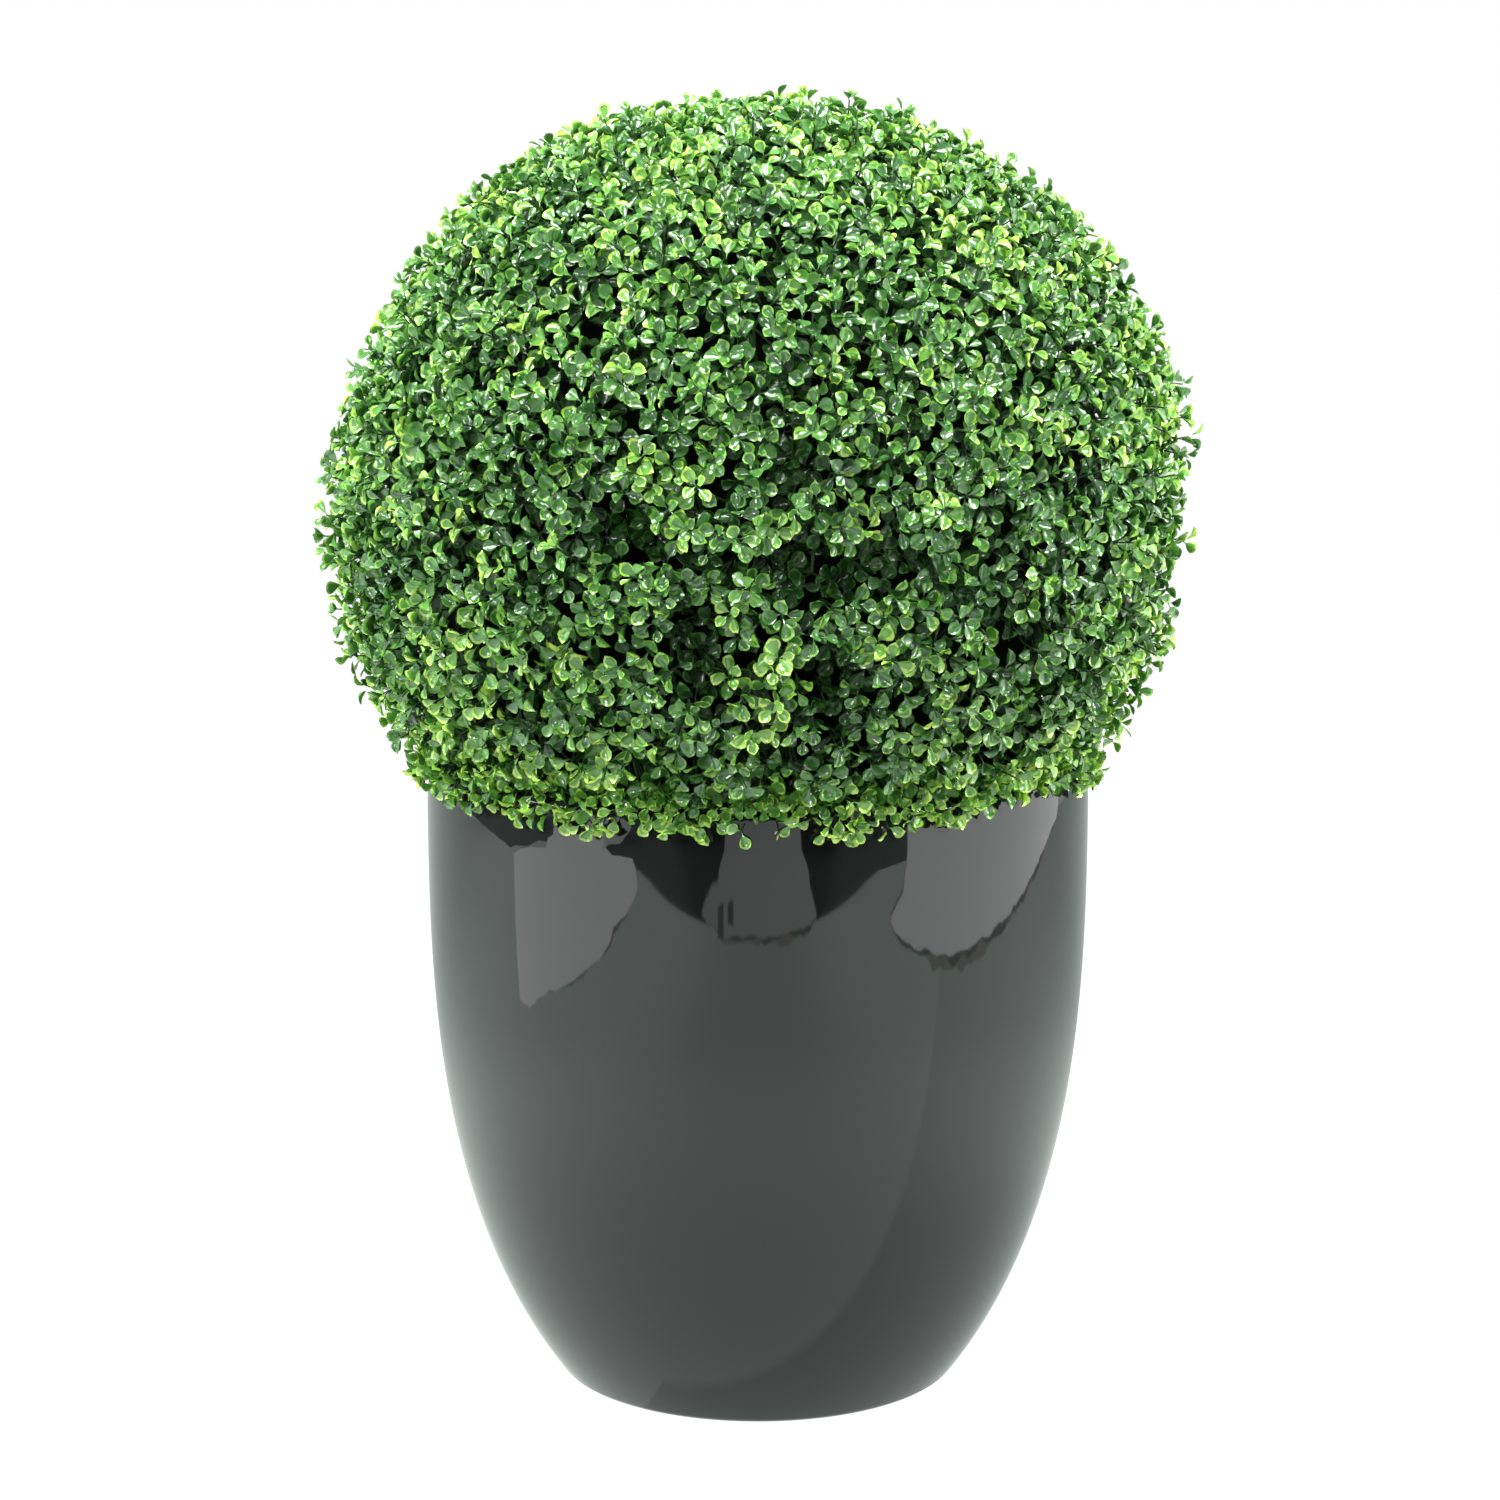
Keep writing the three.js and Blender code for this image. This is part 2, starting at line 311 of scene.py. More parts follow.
def new_tree(name, **sockets):
    tree = bpy.data.node_groups.new(name, "GeometryNodeTree")
    tree.interface.new_socket("Geometry", in_out="INPUT", socket_type="NodeSocketGeometry")
    for key, (kind, default) in sockets.items():
        socket = tree.interface.new_socket(key.replace("_", " "), in_out="INPUT",
                                           socket_type=kind)
        if default is not None:
            socket.default_value = default
    tree.interface.new_socket("Geometry", in_out="OUTPUT", socket_type="NodeSocketGeometry")
    return tree, node(tree, "NodeGroupInput")


def named(tree, name, kind):
    """A value that the carrier mesh holds for each of its points."""
    return node(tree, "GeometryNodeInputNamedAttribute", {"Name": name},
                data_type=kind).outputs["Attribute"]


def scatter_tree(name, finishes):
    """Sets one small shape on each point, turned by its along and face.

    finishes is a list of (inner, rim) materials, one pair for each tone.
    """
    tree, given = new_tree(name, Shape=("NodeSocketObject", None),
                           Length=("NodeSocketFloat", 10 * MM))
    shape = node(tree, "GeometryNodeObjectInfo", {"Object": given.outputs["Shape"]})
    turn = node(tree, "FunctionNodeAxesToRotation", {
        "Primary Axis": named(tree, "along", "FLOAT_VECTOR"),
        "Secondary Axis": named(tree, "face", "FLOAT_VECTOR"),
    }, primary_axis="X", secondary_axis="Z")
    size = node(tree, "ShaderNodeVectorMath", {
        0: named(tree, "size", "FLOAT_VECTOR"), "Scale": given.outputs["Length"],
    }, operation="SCALE")
    placed = node(tree, "GeometryNodeInstanceOnPoints", {
        "Points": given.outputs["Geometry"], "Instance": shape.outputs["Geometry"],
        "Rotation": turn.outputs["Rotation"], "Scale": size.outputs[0],
    })
    geometry = node(tree, "GeometryNodeRealizeInstances",
                    {"Geometry": placed.outputs["Instances"]}).outputs["Geometry"]
    tone = named(tree, "tone", "INT")
    rim = named(tree, "rim", "BOOLEAN")
    for index, (inner, edge) in enumerate(finishes):
        of_tone = node(tree, "FunctionNodeCompare", {2: tone, 3: index},
                       data_type="INT", operation="EQUAL").outputs["Result"]
        both = node(tree, "FunctionNodeBooleanMath", {0: of_tone, 1: rim},
                    operation="AND").outputs["Boolean"]
        for selection, finish in ((of_tone, inner), (both, edge)):
            geometry = node(tree, "GeometryNodeSetMaterial", {
                "Geometry": geometry, "Selection": selection, "Material": finish,
            }).outputs["Geometry"]
    node(tree, "NodeGroupOutput", {"Geometry": geometry})
    return tree


def limb_tree(name, finish):
    """Gives each chain of edges a round body as thick as its points say."""
    tree, given = new_tree(name, Sides=("NodeSocketInt", 3))
    path = node(tree, "GeometryNodeMeshToCurve", {"Mesh": given.outputs["Geometry"]})
    section = node(tree, "GeometryNodeCurvePrimitiveCircle",
                   {"Resolution": given.outputs["Sides"], "Radius": 1.0})
    body = node(tree, "GeometryNodeCurveToMesh", {
        "Curve": path.outputs["Curve"], "Profile Curve": section.outputs["Curve"],
        "Scale": named(tree, "thickness", "FLOAT"), "Fill Caps": True,
    })
    smooth = node(tree, "GeometryNodeSetShadeSmooth", {"Geometry": body.outputs["Mesh"]})
    real = node(tree, "GeometryNodeRealizeInstances",
                {"Geometry": smooth.outputs["Geometry"]})
    done = node(tree, "GeometryNodeSetMaterial",
                {"Geometry": real.outputs["Geometry"], "Material": finish})
    node(tree, "NodeGroupOutput", {"Geometry": done.outputs["Geometry"]})
    return tree


def hand_over(mesh, name, kind, values):
    attribute = mesh.attributes.new(name, kind, "POINT")
    flat = [part for value in values for part in value] if kind == "FLOAT_VECTOR" else values
    attribute.data.foreach_set("vector" if kind == "FLOAT_VECTOR" else "value", flat)


def point_carrier(name, items):
    """Points for scatter_tree. Each item is (root, along, face, size, tone).

    size is the shape's length, width and thickness as shares of its full length.
    """
    roots, along, face, size, tone = zip(*items)
    mesh = bpy.data.meshes.new(name)
    mesh.from_pydata(roots, [], [])
    hand_over(mesh, "along", "FLOAT_VECTOR", along)
    hand_over(mesh, "face", "FLOAT_VECTOR", face)
    hand_over(mesh, "size", "FLOAT_VECTOR", size)
    hand_over(mesh, "tone", "INT", tone)
    return mesh


def chain_carrier(name, chains):
    """Chains of edges for limb_tree. Each chain is a list of (point, radius)."""
    points, edges, thickness = [], [], []
    for chain in chains:
        first = len(points)
        points += [point for point, _ in chain]
        thickness += [radius for _, radius in chain]
        edges += [(i, i + 1) for i in range(first, len(points) - 1)]
    mesh = bpy.data.meshes.new(name)
    mesh.from_pydata(points, edges, [])
    hand_over(mesh, "thickness", "FLOAT", thickness)
    return mesh


# ---- Sizes and colours -------------------------------------------------------------


class PotSettings(PropertyGroup):
    belly_radius: length("Belly radius", "Half the pot's greatest width", POT_BOX[1].x / MM)
    height: length("Height", "From the underside to the top of the lip", POT_BOX[1].z / MM)
    belly_height: length("Belly height", "Where the pot is widest", 382)
    foot_radius: length("Foot radius", "Radius that the flank runs down to", 129)
    foot_round: length("Foot rounding", "Radius that turns the flank under", 4)
    lip_inset: length("Lip inset", "How much narrower the lip is than the belly", 4)
    wall: length("Wall", "Thickness of the wall and of its rounded lip", 12)
    floor: length("Floor", "Thickness of the bottom", 16)
    flank: number("Flank", "A higher power keeps the flank upright for longer", 2.75)
    shoulder: number("Shoulder", "A lower power draws the flank in sooner", 1.8)
    foot_ring: length("Foot ring", "Width of the bare ring that the pot stands on", 18)
    foot_hollow: length("Foot hollow", "How far the underside is raised inside the ring", 3)
    segments: IntProperty(name="Segments", description="Steps round the pot", default=192)
    glaze: colour("Glaze", "Anthracite body colour of the glaze", "#1d2221")
    clay: colour("Clay", "Fired stoneware where the glaze was wiped off", "#8d7c68")
    wave: length("Glaze wave", "Depth of the slow unevenness of the glaze", 0.22)


class FoliageSettings(PropertyGroup):
    centre: length("Centre height", "Height of the ball's centre", 576)
    radius: length("Radius", "From the centre to the tips of the leaves", 275)
    lowest: angle("Lowest", "Elevation under which the ball bears no leaves", -44)
    seed: IntProperty(name="Seed", description="Start of the seeded growth", default=71)
    boughs: IntProperty(name="Boughs", description="Limbs from the stem", default=30)
    bough_end: number("Bough end", "Share of the reach where a bough ends", 0.5)
    twigs: IntProperty(name="Twigs", description="Twigs from the boughs", default=104)
    twig_end: number("Twig end", "Share of the reach where a twig ends", 0.79)
    lean: angle("Twig lean", "How far a twig leans off its even place", 2)
    branchlets: IntProperty(name="Branchlets", description="Forks of the twigs", default=720)
    branchlet_end: number("Branchlet end", "Share of the reach where it ends", 0.885)
    sprays: IntProperty(name="Sprays", description="Leafy shoots of the ball", default=2750)
    skirt: IntProperty(name="Skirt", description="Sprays laid over the lip", default=440)
    spray_lean: angle("Spray lean", "How far a spray leans off its even place", 1.3)
    spray_length: length("Spray length", "Length of a spray's own leafy stem", 24)
    spray_tip: length("Spray tip", "Depth of the sprays' tips inside the ball", 10)
    leaf_length: length("Leaf length", "Length of a full leaf with its stalk", 13.6)
    seam_width: length("Seam width", "Half width of the gap between the half-balls", 13)
    seam_depth: length("Seam depth", "How far sprays lie back at the seam", 34)
    shell: number("Shell", "Share of the reach that the half-ball shells fill", 0.8)
    twig_colour: colour("Twigs", "Grey-green of the moulded twigs", "#2b4424")
    # The shells' near black also serves as painted shade in the gaps between the sprays.
    shell_and_shade_colour: colour("Shell", "Black-green of the half-ball shells", "#060905")


for tone, (word, inner_code, rim_code) in enumerate(LEAF_TONES):
    FoliageSettings.__annotations__.update({
        f"inner_{tone}": colour(f"Leaf, {word}", f"Inner field of {word} leaves", inner_code),
        f"rim_{tone}": colour(f"Rim, {word}", f"Rim of {word} leaves", rim_code)})


class StemSettings(PropertyGroup):
    base_radius: length("Base radius", "Radius above the flare", 21)
    top_radius: length("Top radius", "Radius at the top", 14)
    flare: length("Flare", "Extra radius where the stem meets the medium", 12)
    flare_height: length("Flare height", "Height of the flare", 18)
    ridge: length("Bark ridge", "Depth of the furrows in the bark", 1.4)
    bark: colour("Bark", "Grey-brown of the bark", "#6d5b45")


class MediumSettings(PropertyGroup):
    gap: length("Gap", "Clearance between the medium and the pot's wall", 0.3)
    crown: length("Crown", "How much higher the medium stands in the middle", 6)
    flakes: IntProperty(name="Flakes", description="Places for flakes of bark", default=1500)
    flake_length: length("Flake length", "Length of the mulch's flakes of bark", 11)
    flake_margin: length("Flake margin", "Bare ring between the flakes and the wall", 12)
    flake_start: length("Flake start", "Radius round the stem that is left bare", 36)


class StageSettings(PropertyGroup):
    camera_height: length("Camera height", "Height of the lens above the floor", 922.1)
    camera_distance: length("Camera distance", "Level distance to the pot's axis", 2650)
    camera_aside: length("Camera aside", "Camera to the left of the pot's axis", 5.1)
    camera_pitch: FloatProperty(name="Camera pitch", description="How far it looks down",
                                default=0.1892, unit="ROTATION", subtype="ANGLE", precision=4)
    lens: FloatProperty(name="Lens", description="Focal length in millimetres", default=99.2)


# ---- Pot ---------------------------------------------------------------------------


def pot_radius(pot, height):
    """Outer radius: a flattened curve from the foot to the belly, slightly in to the lip."""
    if height >= pot.belly_height:
        above = (height - pot.belly_height) / (pot.height - pot.belly_height)
        return pot.belly_radius - pot.lip_inset * above * above
    foot = (pot.foot_radius / pot.belly_radius) ** pot.shoulder
    drop = pot.belly_height / (1 - foot) ** (1 / pot.flank)
    below = (pot.belly_height - height) / drop
    side = pot.belly_radius * (1 - below ** pot.flank) ** (1 / pot.shoulder)
    rounded = max(0.0, 1 - height / pot.foot_round)
    return side - pot.foot_round * (1 - math.sqrt(1 - rounded * rounded))


def pot_clearance(pot, point):
    """Distance from a point to the pot's wall or lip."""
    lip = pot.wall / 2
    height = min(max(point.z, 0.0), pot.height - lip)
    level = math.hypot(point.x, point.y) - (pot_radius(pot, height) - lip)
    return math.hypot(level, point.z - height) - lip


def pot_outside(pot):
    foot_steps, flank_steps = 8, 66
    lip_base = pot.height - pot.wall / 2
    heights = [pot.foot_round * (1 - math.cos(math.pi / 2 * i / foot_steps))
               for i in range(foot_steps)]
    heights += [pot.foot_round + (lip_base - pot.foot_round) * i / flank_steps
                for i in range(flank_steps + 1)]
    return [(pot_radius(pot, height), height) for height in heights]


def pot_inside(pot):
    """The outside moved in by the wall, square to it, from the edge of the floor up."""
    nudge, floor_gap = 0.5 * MM, 2 * MM
    profile = []
    for radius, height in pot_outside(pot):
        if height < pot.foot_round:
            continue
        slope = (pot_radius(pot, height + nudge) - pot_radius(pot, height - nudge)) / nudge / 2
        across = math.hypot(1, slope)
        moved = (radius - pot.wall / across, height + pot.wall * slope / across)
        if moved[1] > pot.floor + floor_gap:
            profile.append(moved)
    return profile


def pot_mesh(pot):
    lip_steps, lip = 10, pot.wall / 2
    foot_bevel, floor_bevel = 1 * MM, 4 * MM
    outside, inside = pot_outside(pot), pot_inside(pot)
    edge = outside[0][0]
    ring = edge - pot.foot_ring
    rim_radius, rim_height = outside[-1]
    turns = [math.pi * i / lip_steps for i in range(1, lip_steps)]
    rounded = [(rim_radius - lip * (1 - math.cos(turn)), rim_height + lip * math.sin(turn))
               for turn in turns]
    profile = [(0, pot.foot_hollow), (ring - pot.foot_hollow, pot.foot_hollow), (ring, 0),
               (edge - foot_bevel, 0), *outside, *rounded, *reversed(inside),
               (inside[0][0] - floor_bevel, pot.floor), (0, pot.floor)]
    mesh = turned("glazed_pot", profile, pot.segments)
    for face in mesh.polygons:
        if face.center.z <= pot.foot_hollow and face.normal.z < -0.5:
            face.material_index = 1
    return mesh


def glaze_pattern(pot):
    def pattern(tree):
        # A thick glaze levels out in slow waves a few centimetres across,
        # and gas that left it in the kiln leaves a few pinholes.
        thinner, thicker = (tuple(c * share for c in pot.glaze) for share in (0.85, 1.15))
        tint = mixed(tree, surface_noise(tree, 60 * MM), thinner, thicker)
        spots = node(tree, "ShaderNodeTexVoronoi", {
            "Vector": object_place(tree), "Scale": 1 / (55 * MM)})
        near = calculated(tree, "LESS_THAN", spots.outputs["Distance"], 0.022)
        waves = bump(tree, surface_noise(tree, 45 * MM, 1.0), pot.wave)
        pits = bump(tree, calculated(tree, "MULTIPLY", near, -1.0), 0.3 * MM, Normal=waves)
        return {"Base Color": mixed(tree, near, tint, linear("#100c08")), "Normal": pits}
    return pattern


class TOPIARY_OT_pot(Operator):
    """Makes the glazed pot"""
    bl_idname = "topiary.pot"
    bl_label = "Glazed pot"

    def execute(self, context):
        pot = context.scene.topiary_pot
        # Gloss glaze on stoneware: near black, with clear wet-looking reflections.
        glaze = material("gloss_glazed_stoneware", pot.glaze, 0.035, 1.6, glaze_pattern(pot))
        # The ring under the pot was wiped clean before firing: matt, and grog in the body
        # gives it a sandy grain of about a millimetre.
        clay = material("bare_fired_stoneware", pot.clay, 0.85, 1.5,
                        grain(1.2 * MM, 3.0, 0.2 * MM))
        new_piece("glazed_pot", pot_mesh(pot), "pot_glaze", "pot", glaze, clay)
        return {"FINISHED"}


# ---- Potting medium ----------------------------------------------------------------


def flake_shape():
    """A split flake of bark: a wedge with one broken end, one unit long."""
    points = [(0, -0.26, -0.1), (0, 0.22, -0.1), (0.8, 0.3, -0.12), (1, -0.05, -0.06),
              (0.75, -0.3, -0.1), (0.05, -0.18, 0.12), (0.1, 0.16, 0.1), (0.75, 0.18, 0.08),
              (0.85, -0.12, 0.12)]
    faces = [(4, 3, 2, 1, 0), (5, 8, 7, 6), (0, 5, 6, 1), (1, 6, 7, 2), (2, 7, 3), (3, 7, 8),
             (3, 8, 4), (4, 8, 5, 0)]
    return bpy.data.objects.new("bark_flake", mesh_from("bark_flake", points, faces, False))


def compost_grain(tree):
    # Crumbs of two to three millimetres, with paler fibres among them.
    crumbs = surface_noise(tree, 2.5 * MM, 4.0)
    return {"Base Color": mixed(tree, crumbs, linear("#1d150f"), linear("#4b3828")),
            "Normal": bump(tree, crumbs, 1.5 * MM)}


def compost_mesh(pot, medium):
    """The filling of the pot, with a crumbly top that is highest in the middle."""
    low, top = FILL_BOX[0].z, FILL_BOX[1].z
    steps, edge, wall_end = 26, 8 * MM, top - 14 * MM
    side = [(radius - medium.gap, max(height, low)) for radius, height in pot_inside(pot)
            if height < wall_end]
    rim = side[-1][0]
    surface = [((rim - edge) * (1 - i / steps), top - medium.crown * (1 - i / steps) ** 2)
               for i in range(steps)]

    def crumbs(radius, height, azimuth):
        if height < top - 8 * MM:
            return radius
        level = Vector((radius * math.cos(azimuth), radius * math.sin(azimuth), 0))
        return radius + 2.5 * MM * noise(level / (9 * MM))

    mesh = turned("bark_compost", [(0, low), *side, *surface, (0, top)], 96, crumbs)
    for point in mesh.vertices:
        if point.co.z > top - 7 * MM:
            point.co.z += 2 * MM * noise(point.co / (13 * MM)) - 1.5 * MM
    return mesh, rim


def flake_places(medium, rim):
    """Flakes strewn over the medium, each lying at its own tilt."""
    draw = seeded(5)
    top = FILL_BOX[1].z
    items = []
    for i in range(medium.flakes):
        level = (rim - medium.flake_margin) * math.sqrt((i + 0.5) / medium.flakes)
        if level < medium.flake_start:
            continue
        turn = i * GOLDEN_ANGLE + draw()
        height = top - medium.crown * (level / rim) ** 2 - 1 * MM * draw()
        heading = draw() * 2 * math.pi
        along = Vector((math.cos(heading), math.sin(heading), 0.5 * draw() - 0.2))
        face = Vector((draw() - 0.5, draw() - 0.5, 1))
        size = (0.5 + 0.8 * draw(),) * 3
        items.append(((level * math.cos(turn), level * math.sin(turn), height),
                      along.normalized(), face.normalized(), size, int(draw() * 3)))
    return items


class TOPIARY_OT_medium(Operator):
    """Makes the potting medium with its mulch of bark flakes"""
    bl_idname = "topiary.medium"
    bl_label = "Potting medium"

    def execute(self, context):
        medium = context.scene.topiary_medium
        mesh, rim = compost_mesh(context.scene.topiary_pot, medium)
        compost = material("composted_bark", linear("#34271c"), 0.95, 1.45, compost_grain)
        new_piece("bark_compost", mesh, "potting_medium", "potting_fill", compost)
        # Flakes of pine bark: matt, from nearly black to red-brown where they split.
        flakes = [material(f"split_pine_bark_{i}", linear(code), 0.9, 1.5,
                           grain(1.5 * MM, 3.0, 0.4 * MM))
                  for i, code in enumerate(("#2b2019", "#4a3222", "#6a4a30"))]
        shape = flake_shape()
        mulch = evaluated(point_carrier("bark_flakes", flake_places(medium, rim)),
                          scatter_tree("Bark flakes", [(f, f) for f in flakes]),
                          Shape=shape, Length=medium.flake_length)
        bpy.data.objects.remove(shape)
        new_piece("bark_flakes", mulch, "potting_medium", "potting_fill")
        return {"FINISHED"}


# ---- Growth rule -------------------------------------------------------------------


def seeded(seed):
    """The repeatable stream of numbers from 0 to 1 that the part's source grows by."""
    whole = 0xFFFFFFFF
    state = seed

    def draw():
        nonlocal state
        state = (state + 0x6D2B79F5) & whole
        t = ((state ^ (state >> 15)) * (state | 1)) & whole
        t ^= (t + (t ^ (t >> 7)) * (t | 61)) & whole
        return ((t ^ (t >> 14)) & whole) / (whole + 1)

    return draw


def direction_of(azimuth, elevation):
    level = math.cos(elevation)
    return Vector((level * math.cos(azimuth), level * math.sin(azimuth),
                   math.sin(elevation)))


def bump_rule(rows):
    """Each row of (azimuth, elevation, height, half width) as direction, height and fall."""
    return [(direction_of(math.radians(azimuth), math.radians(elevation)), height * MM,
             1 - math.cos(math.radians(width))) for azimuth, elevation, height, width in rows]


SWELL_RULE = bump_rule(SWELLS)
HOLLOW_RULE = bump_rule([(*row, HOLLOW_WIDTH) for row in HOLLOWS])


def bumps_at(rule, direction):
    """What each bump of a rule adds in one direction: its height, or less further off."""
    return [height * math.exp((direction.dot(towards) - 1) / fall)
            for towards, height, fall in rule]


def reach_of(foliage, direction):
    """Distance from the ball's centre to its leaf tips in one direction."""
    return foliage.radius + sum(bumps_at(SWELL_RULE, direction))


def stray(draw, size):
    """A random push of up to half the size each way, along all three axes."""
    return Vector((draw() - 0.5, draw() - 0.5, draw() - 0.5)) * size


def even_directions(count, lean, lowest, draw):
    """Even places over the ball by the golden angle, each leaned a little."""
    sink = math.sin(lowest)
    directions = []
    for i in range(count):
        rise = 1 - (1 - sink) * (i + 0.5) / count
        level = math.sqrt(1 - rise * rise)
        turn = i * GOLDEN_ANGLE
        even = Vector((level * math.cos(turn), level * math.sin(turn), rise))
        directions.append((even + stray(draw, 1) * 2 * lean).normalized())
    return directions


def nearest_of(directions):
    tree = KDTree(len(directions))
    for i, direction in enumerate(directions):
        tree.insert(direction, i)
    tree.balance()
    return lambda direction: directions[tree.find(direction)[1]]


def square_to(direction):
    reference = UP if abs(direction.z) < 0.9 else Vector((1, 0, 0))
    return reference.cross(direction).normalized()


def limb(start, end, start_radius, end_radius, steps, sag, draw):
    """A tapering chain from start to end that bows a little to one side."""
    aside = square_to((end - start).normalized())
    aside = Quaternion((end - start).normalized(), draw() * 2 * math.pi) @ aside
    chain = []
    for i in range(steps + 1):
        share = i / steps
        bow = aside * (sag * math.sin(math.pi * share))
        chain.append((start.lerp(end, share) + bow,
                      start_radius + (end_radius - start_radius) * share))
    return chain


def seam_share(foliage, direction):
    """0 away from the seam of the two half-balls, up to 1 in the gaps along it."""
    round_seam = Vector((direction.x, direction.y, 0)).normalized()
    wander = 11 * MM * noise(round_seam * 2.3 + Vector((3.1, 0, 7.7)))
    wander += 5 * MM * noise(round_seam * 7 + Vector((0, 5.3, 1.9)))
    open_share = 0.62 + 0.75 * noise(round_seam * 3.4 + Vector((1.7, 9.2, 4.4)))
    width = foliage.seam_width * min(1.25, max(0.12, open_share))
    off = abs(direction.z * foliage.radius - wander)
    return max(0.0, 1 - off / width) * min(1.0, max(0.25, open_share))


def tone_from(pick, limits):
    """The first tone whose limit lies above the pick, or else the yellowest one."""
    return next((tone for tone, limit in limits.items() if pick < limit),
                len(LEAF_TONES) - 1)


class Growth:
    """Boughs, twigs, branchlets and sprays of the ball, each grown on from the last."""

    # Radii at the start and the end, steps, and sag to one side, the lengths in millimetres.
    BOUGH, TWIG, BRANCHLET = (9, 4.5, 9, 6), (3.6, 2.0, 6, 4), (1.7, 1.0, 3, 3)

    def __init__(self, foliage, pot, stem_top):
        draw = seeded(foliage.seed)
        draw()
        boughs = even_directions(foliage.boughs, foliage.lean, foliage.lowest, draw)
        twigs = even_directions(foliage.twigs, foliage.lean, foliage.lowest, draw)
        draw = seeded(foliage.seed + 1)
        branchlets = even_directions(foliage.branchlets, foliage.lean, foliage.lowest, draw)
        sprays = even_directions(foliage.sprays, foliage.spray_lean, foliage.lowest, draw)
        bough_of, twig_of = nearest_of(boughs), nearest_of(twigs)
        self.branchlet_of = nearest_of(branchlets)
        self.foliage, self.pot, self.draw = foliage, pot, draw
        self.boughs, self.twigs, self.sprays, self.leaves = [], [], [], []
        for direction in boughs:
            # The lower a bough points, the lower it leaves the stem.
            drop = (60 + 45 * draw()) * (1 - direction.z) / 2 + 8
            fork = Vector((0, 0, stem_top - drop * MM))
            self.boughs.append(self.grow(fork, direction, foliage.bough_end, self.BOUGH))
        for direction in twigs:
            root = self.place(bough_of(direction), foliage.bough_end)
            self.twigs.append(self.grow(root, direction, foliage.twig_end, self.TWIG))
        for direction in branchlets:
            # None of them runs into the wall of the pot, below its lip.
            end = self.place(direction, foliage.branchlet_end)
            over_lip = end.z > pot.height - 20 * MM
            if over_lip or math.hypot(end.x, end.y) < 180 * MM:
                root = self.place(twig_of(direction), foliage.twig_end)
                self.twigs.append(
                    self.grow(root, direction, foliage.branchlet_end, self.BRANCHLET))
        for direction in sprays:
            self.grow_spray(direction)
        for i in range(foliage.skirt):
            self.hang_spray(2 * math.pi * (i + 0.6 * draw()) / foliage.skirt)

    def place(self, direction, share):
        """The point at this share of the ball's reach in one direction."""
        foliage = self.foliage
        return direction * (reach_of(foliage, direction) * share) + UP * foliage.centre

    def grow(self, root, direction, share, form):
        start_radius, end_radius, steps, sag = form
        return limb(root, self.place(direction, share), start_radius * MM, end_radius * MM,
                    steps, sag * MM, self.draw)

    def grow_spray(self, direction):
        foliage, draw = self.foliage, self.draw
        seam = seam_share(foliage, direction)
        hills = noise(direction * 6.5 + Vector((4.2, 1.1, 8.3)))
        hills += noise(direction * 15 + Vector((0.3, 6.6, 2.4)))
        # The mats are fuller and more even towards the top.
        loose = 1 - 0.45 * max(0.0, direction.z)
        depth = foliage.spray_tip + foliage.seam_depth * seam
        depth += max(bumps_at(HOLLOW_RULE, direction))
        depth += loose * 12 * MM * (draw() + draw() - 1)
        depth -= loose * 5 * MM * hills
        if draw() < LONG_SHOOTS:
            depth -= (3 + 5 * draw()) * MM
        if seam > SEAM_OPEN:
            return
        tip = direction * (reach_of(foliage, direction) - depth) + UP * foliage.centre
        axis = (direction + stray(draw, 0.9)).normalized()
        if tip.z > self.pot.height + 6 * MM:
            tone = self.tone_of(direction, depth)
            size = self.add_stem(tip, axis, self.branchlet_of(direction))
            self.add_leaves(tip, axis, size, tone)

    def hang_spray(self, azimuth):
        """A spray that would run down into the pot lies out over its lip and hangs a little."""
        pot, draw = self.pot, self.draw
        # At the right front the ball rides a little higher on the lip than elsewhere.
        off = (math.degrees(azimuth) - RAISED_AZIMUTH + 180) % 360 - 180
        raised = 0.6 * math.exp(-((off / RAISED_WIDTH) ** 2))
        # 0 lies over the lip and points up a little, 1 hangs down outside it.
        fall = draw() ** 0.8 * (1 - raised)
        outward = direction_of(azimuth, 0)
        tip = outward * (pot.belly_radius - (7 - 12 * fall) * MM)
        tip += UP * (pot.height + (8 - 19 * fall) * MM)
        axis = (outward + UP * (0.2 - 1.1 * fall) + stray(draw, 0.7)).normalized()
        size = self.add_stem(tip, axis, self.branchlet_of(
            direction_of(azimuth, math.radians(SKIRT_ROOTS))))
        self.add_leaves(tip, axis, size, tone_from(draw(), SKIRT_LIT_TONES))

    def tone_of(self, direction, depth):
        """0 for the deepest sprays, as painted shade, up to 4 for the yellowest ones, which grow
        in patches.
        """
        if depth > SHADE_DEPTH * MM:
            return 0
        patch = noise(direction * 4.5 + Vector((7.5, 2.5, 0.5)))
        # Lower sprays lean to yellower tones, painted light from below, and deeper ones to
        # darker tones, painted shade.
        low = max(0.0, -direction.z - 0.1)
        pick = self.draw() + 0.35 * patch + 0.35 * low - 0.012 * (depth / MM - 8)
        return tone_from(pick, BALL_TONES)

    def add_stem(self, tip, axis, branchlet):
        """Joins the spray's tip to the end of a branchlet, and returns the spray's size."""
        foliage, pot = self.foliage, self.pot
        size = 0.94 + 0.14 * self.draw()
        root = self.place(branchlet, foliage.branchlet_end)
        base = tip - axis * foliage.spray_length * size
        chain = [(root, 0.9 * MM), (base, 0.75 * MM), (tip, 0.5 * MM)]
        middle = root.lerp(base, 0.5)
        if min(pot_clearance(pot, point) for point in (root, middle, base, tip)) > 1.2 * MM:
            self.sprays.append(chain)
        else:
            self.sprays.append(chain[1:])
        return size

